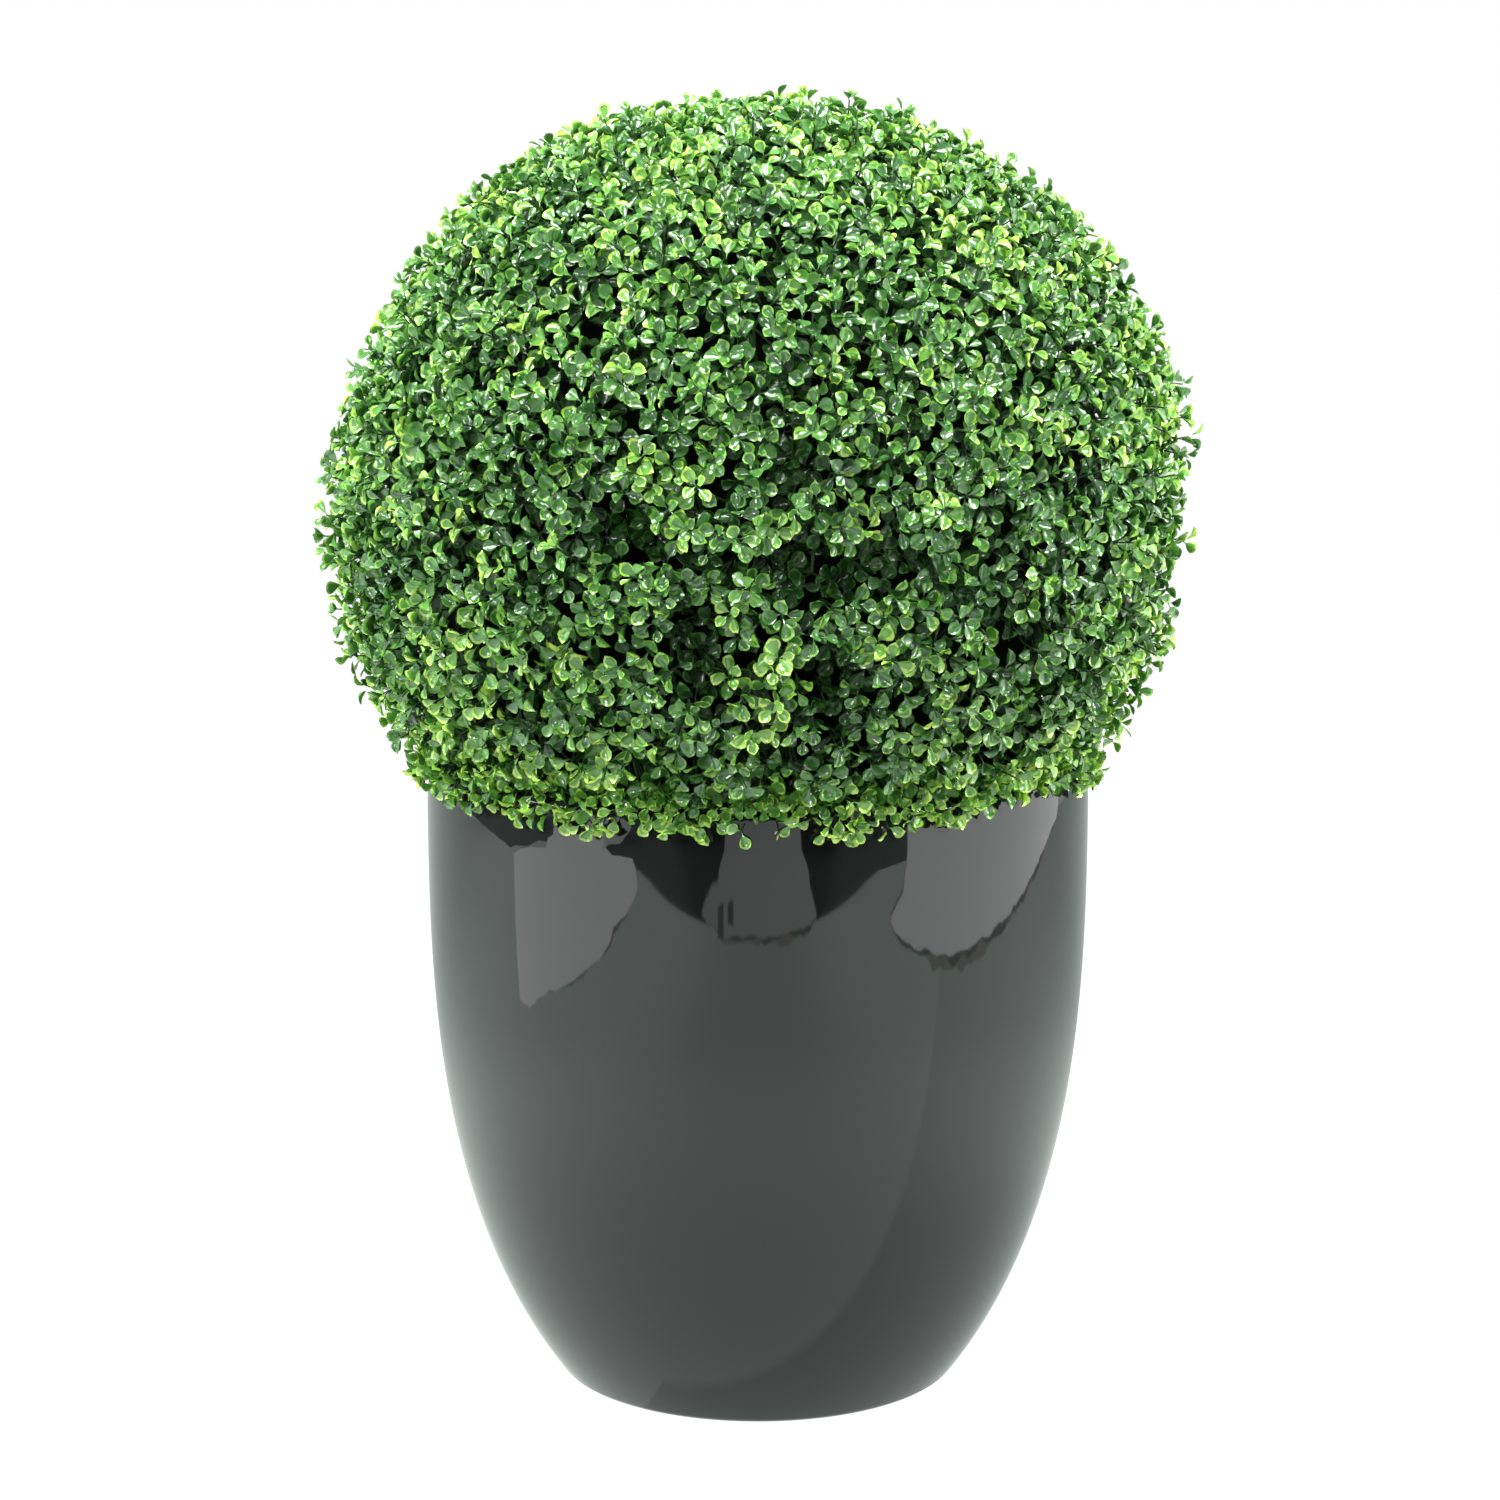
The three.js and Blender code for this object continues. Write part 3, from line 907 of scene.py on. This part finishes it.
    def add_leaves(self, tip, axis, stretch, tone):
        """Pairs of leaves, each pair turned by a quarter from the last, none quite even."""
        foliage, draw = self.foliage, self.draw
        across = square_to(axis)
        roll = draw() * math.pi
        for step, pair in enumerate(LEAF_PAIRS):
            root = tip - axis * (pair["below"] * foliage.spray_length * stretch)
            for side in (0, 1):
                turn = roll + step * math.pi / 2 + side * math.pi + 0.5 * (draw() - 0.5)
                lean = math.radians(pair["splay"] + 36 * (draw() - 0.5))
                outward = Quaternion(axis, turn) @ across
                along = axis * math.cos(lean) + outward * math.sin(lean)
                face = axis * math.sin(lean) - outward * math.cos(lean)
                face = Quaternion(along, 1.5 * (draw() - 0.5)) @ face
                size = pair["size"] * stretch * (0.9 + 0.2 * draw())
                if self.leaf_fits(root, along, face, size * foliage.leaf_length):
                    # Pairs that lie deeper in the spray take deeper tones: painted shade.
                    shade = max(0, tone - pair["shade_tones"])
                    if shade in SOFT_RIMS and draw() < SOFT_SHARE:
                        shade = SOFT_RIMS[shade]
                    width, cup = 0.8 + 0.34 * draw(), 0.5 + 1.5 * draw()
                    self.leaves.append(
                        (root, along, face, (size, size * width, size * cup), shade))

    def leaf_fits(self, root, along, face, reach):
        """Whether a leaf as long as reach keeps off the pot's wall and lip."""
        pot = self.pot
        if root.z > pot.height + 25 * MM:
            return True
        side = along.cross(face) * (0.33 * reach)
        middle = root + along * (0.7 * reach)
        points = (root, root.lerp(middle, 0.5), middle, middle + side, middle - side,
                  root + along * reach)
        return min(pot_clearance(pot, point) for point in points) > 0.7 * MM


def growth_of(scene):
    return Growth(scene.topiary_foliage, scene.topiary_pot, STEM_BOX[1].z)


# ---- Stem and boughs ---------------------------------------------------------------


def bark_relief(tree):
    # Shallow furrows two to four millimetres apart, stretched along the stem.
    drawn_out = node(tree, "ShaderNodeMapping", {
        "Vector": object_place(tree), "Scale": (1, 1, 0.25)}).outputs["Vector"]
    return {"Normal": bump(tree, surface_noise(tree, 3 * MM, 4.0, drawn_out), 1.2 * MM)}


def stem_mesh(stem):
    low, top = STEM_BOX[0].z, STEM_BOX[1].z
    steps, bevel = 60, 2 * MM
    profile = [(0, low)]
    for i in range(steps + 1):
        share = i / steps
        height = low + (top - low - bevel) * share
        up = min(1.0, (height - low) / stem.flare_height)
        taper = stem.base_radius + (stem.top_radius - stem.base_radius) * share
        profile.append((taper + stem.flare * (1 - up) ** 2 - stem.ridge, height))
    profile += [(stem.top_radius * 0.6, top), (0, top)]

    def furrowed(radius, height, azimuth):
        return radius + stem.ridge * noise(Vector((
            math.cos(azimuth) * 2.6, math.sin(azimuth) * 2.6, height / (30 * MM))))

    return turned("barked_stem", profile, 64, furrowed)


class TOPIARY_OT_stem(Operator):
    """Makes the short stem and the boughs that spread from it"""
    bl_idname = "topiary.stem"
    bl_label = "Stem and boughs"

    def execute(self, context):
        stem = context.scene.topiary_stem
        # Rough bark: matt grey-brown with upright furrows.
        bark = material("furrowed_bark", stem.bark, 0.85, 1.5, bark_relief)
        new_piece("barked_stem", stem_mesh(stem), "stem_bark", "stem", bark)
        boughs = evaluated(chain_carrier("boughs", growth_of(context.scene).boughs),
                           limb_tree("Boughs", bark), Sides=10)
        for point in boughs.vertices:
            point.co += point.normal * (0.8 * MM * noise(point.co / (6 * MM)))
        new_piece("boughs", boughs, "stem_bark", "foliage_ball")
        return {"FINISHED"}


# ---- Foliage -----------------------------------------------------------------------


def shell_mesh(foliage, upper):
    """One half-ball shell, closed at the seam, with a sleeve for the stem through it."""
    segments, rings, gap, sleeve = 96, 24, 1 * MM, 24 * MM
    centre = foliage.centre
    points, faces, loops = [], [], []

    def ring(radius_of, height_of):
        loops.append(range(len(points), len(points) + segments))
        for i in range(segments):
            azimuth = 2 * math.pi * i / segments
            points.append((radius_of(azimuth) * math.cos(azimuth),
                           radius_of(azimuth) * math.sin(azimuth), height_of(azimuth)))

    sign = 1 if upper else -1
    ring(lambda a: sleeve, lambda a: centre + sign * gap)
    for step in range(rings):
        tilt = sign * math.pi / 2 * (step + 0.2) / rings
        reach = lambda a: reach_of(foliage, direction_of(a, tilt)) * foliage.shell
        level = lambda a: max(reach(a) * math.cos(tilt), sleeve)
        ring(level, lambda a: centre + sign * max(gap, abs(reach(a) * math.sin(tilt))))
    for low, high in zip(loops, loops[1:] + loops[:1]):
        for i in range(segments):
            j = (i + 1) % segments
            faces.append((low[i], low[j], high[j], high[i]))
    mesh = mesh_from("half_ball_shell", points, faces)
    with editing(mesh) as work:
        bmesh.ops.recalc_face_normals(work, faces=work.faces)
    return mesh


def leaf_shape():
    """A spoon-shaped leaf one unit long, cupped, with its edge band marked as the rim."""
    # Distance along the leaf, half width there, and rise of the middle. The stalk is slim.
    stations = [(0.26, 0.04, 0.02), (0.43, 0.19, 0.035), (0.61, 0.31, 0.03),
                (0.79, 0.315, -0.01), (0.93, 0.19, -0.06)]
    raised = 0.38  # rise of the edge over the middle, as a share of the half width
    band = 0.75  # the inner field reaches this share of the half width
    points, rows = [(0, 0, 0)], [[0]]
    for x, half, rise in stations:
        places = (1, -1) if x < 0.4 else (1, 0, -1) if x > 0.9 else (1, band, -band, -1)
        rows.append(list(range(len(points), len(points) + len(places))))
        points += [(x - (0.05 if across == 0 else 0), half * across,
                    rise + (raised * half if abs(across) == 1 else 0)) for across in places]
    rows.append([len(points)])
    points.append((1.0, 0, -0.1))
    inner, edge = [], []
    for low, high in zip(rows, rows[1:]):
        if len(low) == len(high):
            strips = [(low[i:i + 2], high[i:i + 2]) for i in range(len(low) - 1)]
            for i, ((a, b), (c, d)) in enumerate(strips):
                side = inner if 0 < i < len(strips) - 1 else edge
                side += [(a, b, d), (a, d, c)] if i < len(strips) / 2 else [(a, b, c), (b, d, c)]
        elif len(low) == 1:
            inner.append((low[0], high[1], high[0]))
        elif len(high) == 1:
            edge += [(low[0], low[1], high[0]), (low[1], low[2], high[0])]
        elif len(low) == 2:
            inner += [(low[0], low[1], high[2]), (low[0], high[2], high[1]),
                      (low[0], high[1], high[0]), (low[1], high[3], high[2])]
        else:
            inner.append((low[1], low[2], high[1]))
            edge += [(low[0], low[1], high[0]), (low[1], high[1], high[0]),
                     (low[2], high[2], high[1]), (low[2], low[3], high[2])]
    mesh = mesh_from("box_leaf", points, inner + edge)
    rim = mesh.attributes.new("rim", "BOOLEAN", "FACE")
    for face in mesh.polygons:
        rim.data[face.index].value = face.index >= len(inner)
    with editing(mesh) as work:
        for face in work.faces:
            if face.normal.z < 0:
                face.normal_flip()
    return bpy.data.objects.new("box_leaf", mesh)


def polyethylene(part, shade, roughness, level, **more):
    """Moulded polyethylene. level is the strength of its own sheen."""
    more = {key.replace("_", " "): value for key, value in more.items()}
    # The mould leaves faint veins and orange peel, one to two millimetres apart.
    return material(f"moulded_polyethylene_{part}", shade, roughness, 1.51,
                    grain(1.6 * MM, 1.0, 0.25 * MM), {"Specular IOR Level": level, **more})


def leaf_finishes(foliage):
    """Moulded polyethylene leaves, five tones of them, each with a yellower rim."""
    finishes = []
    for tone in range(len(LEAF_TONES)):
        # Waxy, with soft white glints. The darkest tone, painted shade on the deepest leaves,
        # glints less.
        level, wax = (0.25, 1.0) if tone else (0.1, 0.35)
        finishes.append(tuple(
            polyethylene(f"leaf_{part}_{tone}", getattr(foliage, f"{part}_{tone}"), 0.5, level,
                         Coat_Weight=wax, Coat_Roughness=0.2, Coat_IOR=1.75)
            for part in ("inner", "rim")))
    # Leaves whose rim is only a little lighter than their middle.
    for tone in SOFT_RIMS:
        finishes.append((finishes[tone][0], finishes[tone + 1][0]))
    return finishes


def side_of(point, centre):
    """The side of the ball that a leaf belongs to."""
    out = Vector(point) - UP * centre
    if out.z > out.length * 0.66:
        return "top"
    if abs(out.x) > abs(out.y):
        return "right" if out.x > 0 else "left"
    return "back" if out.y > 0 else "front"


class TOPIARY_OT_twigs(Operator):
    """Makes the half-ball shells and the twigs that fork over them"""
    bl_idname = "topiary.twigs"
    bl_label = "Shells and twigs"

    def execute(self, context):
        foliage = context.scene.topiary_foliage
        # Black-green polyethylene shells that the foliage mats clip on to: matt, and near black,
        # so that they also serve as painted shade in the gaps between the sprays.
        shell = polyethylene("shell", foliage.shell_and_shade_colour, 0.8, 0.05)
        for name, upper in (("upper_half_shell", True), ("lower_half_shell", False)):
            new_piece(name, shell_mesh(foliage, upper), "foliage", "foliage_ball", shell)
        # Polyethylene twigs: grey-green, a little waxy.
        twig = polyethylene("twig", foliage.twig_colour, 0.6, 0.15)
        growth = growth_of(context.scene)
        for name, chains, sides in (("twigs", growth.twigs, 5),
                                    ("spray_stems", growth.sprays, 3)):
            mesh = evaluated(chain_carrier(name, chains), limb_tree(name, twig), Sides=sides)
            new_piece(name, mesh, "foliage", "foliage_ball")
        return {"FINISHED"}


class TOPIARY_OT_leaves(Operator):
    """Makes the leaves, in one piece for each side of the ball"""
    bl_idname = "topiary.leaves"
    bl_label = "Leaves"

    def execute(self, context):
        foliage = context.scene.topiary_foliage
        sides = {}
        for leaf in growth_of(context.scene).leaves:
            sides.setdefault(side_of(leaf[0], foliage.centre), []).append(leaf)
        tree = scatter_tree("Leaves", leaf_finishes(foliage))
        shape = leaf_shape()
        for side, leaves in sorted(sides.items()):
            mesh = evaluated(point_carrier(f"leaves_{side}", leaves), tree, Shape=shape,
                             Length=foliage.leaf_length)
            new_piece(f"leaves_{side}", mesh, "foliage", "foliage_ball")
        bpy.data.objects.remove(shape)
        return {"FINISHED"}


# ---- Stage -------------------------------------------------------------------------


def glow(name, tint, strength_of):
    """Plain light. strength_of(tree) returns its strength, as a number or a socket."""
    made, tree = blank_material(name)
    light = node(tree, "ShaderNodeEmission", {
        "Color": (*tint, 1), "Strength": strength_of(tree)})
    node(tree, "ShaderNodeOutputMaterial", {"Surface": light.outputs["Emission"]})
    return made


def even_glow(name, strength, lean=0.0, tint=(1, 1, 1)):
    """Light that grows by lean for each metre to the right."""
    def strength_of(tree):
        if not lean:
            return strength
        parts = node(tree, "ShaderNodeSeparateXYZ", {"Vector": object_place(tree)}).outputs
        return calculated(tree, "MULTIPLY_ADD", parts["X"], lean, strength)
    return glow(name, tint, strength_of)


def floor_glow(tree):
    """What the floor throws into the glaze, with painted shade and painted pools of light on it.
    """
    place = object_place(tree)
    parts = node(tree, "ShaderNodeSeparateXYZ", {"Vector": place}).outputs
    aside = calculated(tree, "ABSOLUTE", parts["X"])
    away = node(tree, "ShaderNodeVectorMath", {0: place}, operation="LENGTH").outputs["Value"]
    # Past a line that runs askew on the right, up to its corner in front of the pot, the floor
    # throws back less light: painted shade, deepest close to the pot.
    shade_line = calculated(tree, "MINIMUM",
                       calculated(tree, "MULTIPLY_ADD", parts["X"], 0.42, parts["Y"]),
                       calculated(tree, "MULTIPLY_ADD", parts["X"], 4.0, 0.13))
    dimmed = ramp(tree, away, 0.28, 0.5, 0.76, 0.88)
    # The floor is brightest in a ring round the pot, and falls off behind it.
    off_ring = calculated(tree, "ABSOLUTE", calculated(tree, "SUBTRACT", away, 0.57))
    # Along the middle, in line with the pot, the floor throws back less light: painted shade.
    strength = ramp(tree, aside, 0.08, 0.75, 0.97, 1.27)
    for factor in (ramp(tree, shade_line, -0.175, -0.16, 1.0, dimmed),
                   ramp(tree, parts["Y"], -0.2, 1.0, 1.0, 0.55),
                   ramp(tree, off_ring, 0.0, 0.42, 1.18, 1.0)):
        strength = calculated(tree, "MULTIPLY", strength, factor)
    return strength


def stage_piece(name, points, faces, finish):
    mesh = mesh_from(name, points, faces, False)
    mesh.materials.append(finish)
    piece = bpy.data.objects.new(name, mesh)
    bpy.context.scene.collection.objects.link(piece)
    piece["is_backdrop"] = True
    return piece


def only_in_gloss(piece):
    for ray in ("camera", "diffuse", "shadow", "transmission", "volume_scatter"):
        setattr(piece, f"visible_{ray}", False)


# Reflector cards on a circle of one metre round the pot: strength, how much the strength grows
# for each metre to the right, then the corners of the lower and of the upper outline and of the
# frayed border's depth, as azimuth from the front in degrees and height in millimetres.
CARDS = [
    ("left_card", 2.2, 0.0,
     [(-83, 16), (-79, 4), (-72, 27), (-61, 50), (-50, 91), (-46.3, 114), (-45, 138),
      (-41, 154), (-37, 184)],
     [(-83, 205), (-80, 224), (-76, 239), (-69, 250), (-68, 315), (-66, 344), (-65, 900),
      (-49, 900), (-47.5, 364), (-47, 311), (-45, 268), (-41, 264), (-38.5, 258), (-37, 190)],
     [(-83, 5), (-60, 10), (-37, 9)]),
    ("front_card", 1.02, 0.3,
     [(-17, 161), (-15, 145), (-8, 133), (4, 134), (15.5, 145), (17.5, 161)],
     [(-17, 163), (-15.5, 178), (-12, 199), (-10, 360), (-9, 800), (12, 800), (13, 360),
      (15.5, 189), (17.5, 163)],
     [(-17, 6), (0, 17), (17.5, 15)]),
    ("right_card", 2.2, 0.0,
     [(41, 144), (42.5, 129), (49, 108), (57, 95), (66, 92), (73, 104), (83, 123), (90, 138),
      (96.5, 155), (103, 176), (108, 199), (113, 260), (115, 330)],
     [(41, 150), (42.5, 160), (45, 178), (46, 220), (44, 250), (40, 330), (46, 800), (114, 800),
      (115, 500)],
     [(41, 8), (50, 14), (58, 30), (68, 36), (76, 24), (90, 17), (105, 15), (115, 8)]),
]


def along_outline(outline, azimuth):
    """Height of an outline of (azimuth, height) corners at one azimuth."""
    for (start, low), (end, high) in zip(outline, outline[1:]):
        if azimuth <= end:
            return low + (high - low) * (azimuth - start) / (end - start)
    return outline[-1][1]


def card(name, low, high, glare, distance=1.0, tear=5.0):
    """A reflector card with a torn edge, round the pot, which only shows in gloss.

    low and high are its lower and upper outlines: azimuth in degrees, height in millimetres.
    """
    points = []
    start, step = low[0][0], 0.25
    count = round((low[-1][0] - start) / step)
    for i in range(count + 1):
        azimuth = start + step * i
        turn = math.radians(azimuth)
        torn = 0.5 * tear * noise(Vector((azimuth / 1.3, start, 0)))
        torn += 1.4 * tear * noise(Vector((azimuth / 4, start, 5)))
        points += [(distance * math.sin(turn), -distance * math.cos(turn),
                    (along_outline(outline, azimuth) + torn) * MM) for outline in (low, high)]
    faces = [(2 * i, 2 * i + 2, 2 * i + 3, 2 * i + 1) for i in range(count)]
    only_in_gloss(stage_piece(name, points, faces, glare))


def frayed(low, hang, share):
    """An outline under low that hangs down in lumps, as deep as hang says."""
    start, step = low[0][0], 0.5
    outline = []
    for i in range(round((low[-1][0] - start) / step) + 1):
        azimuth = start + step * i
        lump = 0.9 + 1.1 * noise(Vector((azimuth / 6, 3, 8 * share)))
        lump += 0.5 * noise(Vector((azimuth / 2.5, 6, 8 * share)))
        outline.append((azimuth, along_outline(low, azimuth)
                        - share * lump * along_outline(hang, azimuth)))
    return outline


def soft_light(name, place, target, width, height, power):
    light = bpy.data.lights.new(name, "AREA")
    light.shape = "RECTANGLE"
    light.size, light.size_y, light.energy = width, height, power
    holder = bpy.data.objects.new(name, light)
    holder.location = place
    holder.rotation_euler = (Vector(target) - Vector(place)).to_track_quat("-Z", "Y").to_euler()
    bpy.context.scene.collection.objects.link(holder)
    return holder


def make_camera(scene, stage):
    camera = bpy.data.objects.new("camera", bpy.data.cameras.new("camera"))
    camera.data.lens, camera.data.sensor_width = stage.lens, 36
    camera.location = (-stage.camera_aside, -stage.camera_distance, stage.camera_height)
    camera.rotation_euler = (math.pi / 2 - stage.camera_pitch, 0, 0)
    scene.collection.objects.link(camera)
    scene.camera = camera
    scene.view_settings.view_transform = "Standard"


def make_floor():
    """One floor for the camera, and one that shows only in gloss."""
    # Matt white, lit evenly to paper white.
    paper = material("matt_white_floor", (0.1, 0.1, 0.1), 1.0, 1.0, None,
                     {"Emission Color": (1, 1, 1, 1), "Emission Strength": 1.0})
    front, back, side = -1.52, 4.0, 3.2
    corners = [(-side, front), (side, front), (side, back), (-side, back)]
    floor, gloss = (
        stage_piece(name, [(x, y, height) for x, y in corners], [(0, 1, 2, 3)], finish)
        for name, height, finish in (
            ("floor", 0, paper),
            ("floor_in_gloss", 1 * MM, glow("floor_light", (0.97, 1.06, 1.01), floor_glow))))
    floor.visible_diffuse = floor.visible_shadow = floor.visible_glossy = False
    only_in_gloss(gloss)


def make_world(scene):
    """Dim behind the camera, darkest right behind it, white behind the object, bright below."""
    scene.world = bpy.data.worlds.new("studio")
    scene.world.use_nodes = True
    tree = scene.world.node_tree
    tree.nodes.clear()
    place = node(tree, "ShaderNodeTexCoord").outputs["Generated"]
    parts = node(tree, "ShaderNodeSeparateXYZ", {"Vector": place}).outputs
    dim = ramp(tree, parts["Y"], -0.92, -0.86, 0.03, 0.15)
    light = calculated(tree, "MAXIMUM", ramp(tree, parts["Y"], -0.1, 0.45, dim, 1.0),
                       ramp(tree, parts["Z"], -0.2, -0.6, 0.0, 0.75))
    lit, seen = (node(tree, "ShaderNodeBackground", {"Color": (1, 1, 1, 1), "Strength": s})
                 for s in (light, 1.0))
    path = node(tree, "ShaderNodeLightPath")
    both = node(tree, "ShaderNodeMixShader", {
        0: path.outputs["Is Camera Ray"], 1: lit.outputs[0], 2: seen.outputs[0]})
    node(tree, "ShaderNodeOutputWorld", {"Surface": both.outputs[0]})


def make_lights():
    """Soft boxes: name, place, height they aim at, width, height and watts."""
    made = [soft_light(name, place, (0, 0, aim), width, height, power)
            for name, place, aim, width, height, power in (
                ("top_light", (0, -0.5, 2.5), 0.6, 1.3, 1.0, 80),
                ("left_light", (-2.0, -0.4, 1.1), 0.5, 0.8, 0.8, 60),
                ("right_light", (2.0, -0.4, 1.1), 0.5, 0.8, 0.8, 57),
                ("front_light", (0.6, -2.6, 2.0), 0.5, 1.0, 1.0, 6),
                ("low_light", (-0.8, -2.7, 1.25), 0.45, 0.5, 0.5, 24))]
    # A flag keeps the two lights by the camera off the pot, so they light the leaves only.
    flagged = bpy.data.collections.new("kept_out_of_front_lights")
    flagged.objects.link(bpy.data.objects["glazed_pot"])
    for light in made[3:]:
        light.light_linking.receiver_collection = flagged
    flagged.collection_objects[0].light_linking.link_state = "EXCLUDE"


def make_cards():
    """The reflectors and dark flags that the glaze mirrors."""
    borders = [(even_glow(f"frayed_edge_{i}", strength, tint=(1, 0.96, 0.86)), share)
               for i, (strength, share) in enumerate(((0.3, 0.55), (0.72, 1.0)))]
    for name, strength, lean, low, high, hang in CARDS:
        card(name, low, high, even_glow(name, strength, lean))
        for i, (finish, share) in enumerate(borders):
            card(f"{name}_border_{i}", frayed(low, hang, share), high, finish,
                 distance=1.01 + 0.01 * i)
    card("left_tongue", [(-48, 300), (-44, 345), (-42, 372), (-39, 455)],
         [(-48, 700), (-43, 540), (-39, 470)], even_glow("left_tongue", 1.5), tear=24)
    card("left_screen", [(-150, 600), (-122, 536), (-105, 303), (-94, 257), (-85, 211),
                         (-76, 239), (-66, 344), (-64, 420)],
         [(-150, 900), (-64, 900)], even_glow("dark_screen", 0.15), distance=1.04)
    slip = even_glow("dark_slip", 0.28)
    card("left_clamp", [(-12, 134), (-10.25, 130)], [(-12, 172), (-10.25, 176)], slip, 0.99)
    card("right_clamp", [(-9, 152), (-7.25, 149)], [(-9, 176), (-7.25, 180)], slip, 0.99)


class TOPIARY_OT_stage(Operator):
    """Makes the pale floor, the soft studio light and the camera"""
    bl_idname = "topiary.stage"
    bl_label = "Studio"

    def execute(self, context):
        make_camera(context.scene, context.scene.topiary_stage)
        make_floor()
        make_world(context.scene)
        make_lights()
        make_cards()
        return {"FINISHED"}


# ---- Panel and registration --------------------------------------------------------

OPERATORS = (TOPIARY_OT_pot, TOPIARY_OT_medium, TOPIARY_OT_stem, TOPIARY_OT_twigs,
             TOPIARY_OT_leaves, TOPIARY_OT_stage)
GROUPS = {"topiary_pot": PotSettings, "topiary_foliage": FoliageSettings,
          "topiary_stem": StemSettings, "topiary_medium": MediumSettings,
          "topiary_stage": StageSettings}


class TOPIARY_PT_panel(Panel):
    """Lists the settings and the steps that build the topiary ball"""
    bl_idname = "TOPIARY_PT_panel"
    bl_label = "Topiary ball"
    bl_space_type = "VIEW_3D"
    bl_region_type = "UI"
    bl_category = "Topiary"

    def draw(self, context):
        for operator in OPERATORS:
            self.layout.operator(operator.bl_idname)
        for name in GROUPS:
            group = getattr(context.scene, name)
            box = self.layout.box()
            for key in group.bl_rna.properties.keys():
                if key not in ("rna_type", "name"):
                    box.prop(group, key)


def register():
    for name, group in GROUPS.items():
        bpy.utils.register_class(group)
        setattr(bpy.types.Scene, name, PointerProperty(type=group))
    for operator in OPERATORS:
        bpy.utils.register_class(operator)
    bpy.utils.register_class(TOPIARY_PT_panel)


def unregister():
    bpy.utils.unregister_class(TOPIARY_PT_panel)
    for operator in reversed(OPERATORS):
        bpy.utils.unregister_class(operator)
    for name, group in GROUPS.items():
        delattr(bpy.types.Scene, name)
        bpy.utils.unregister_class(group)


def main():
    register()
    bpy.ops.topiary.pot()
    bpy.ops.topiary.medium()
    bpy.ops.topiary.stem()
    bpy.ops.topiary.twigs()
    bpy.ops.topiary.leaves()
    bpy.ops.topiary.stage()
    boxes = {"cad": CAD_BOX, "visual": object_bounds()}
    {name: [list(corner) for corner in box] for name, box in boxes.items()}


if __name__ == "__main__":
    main()
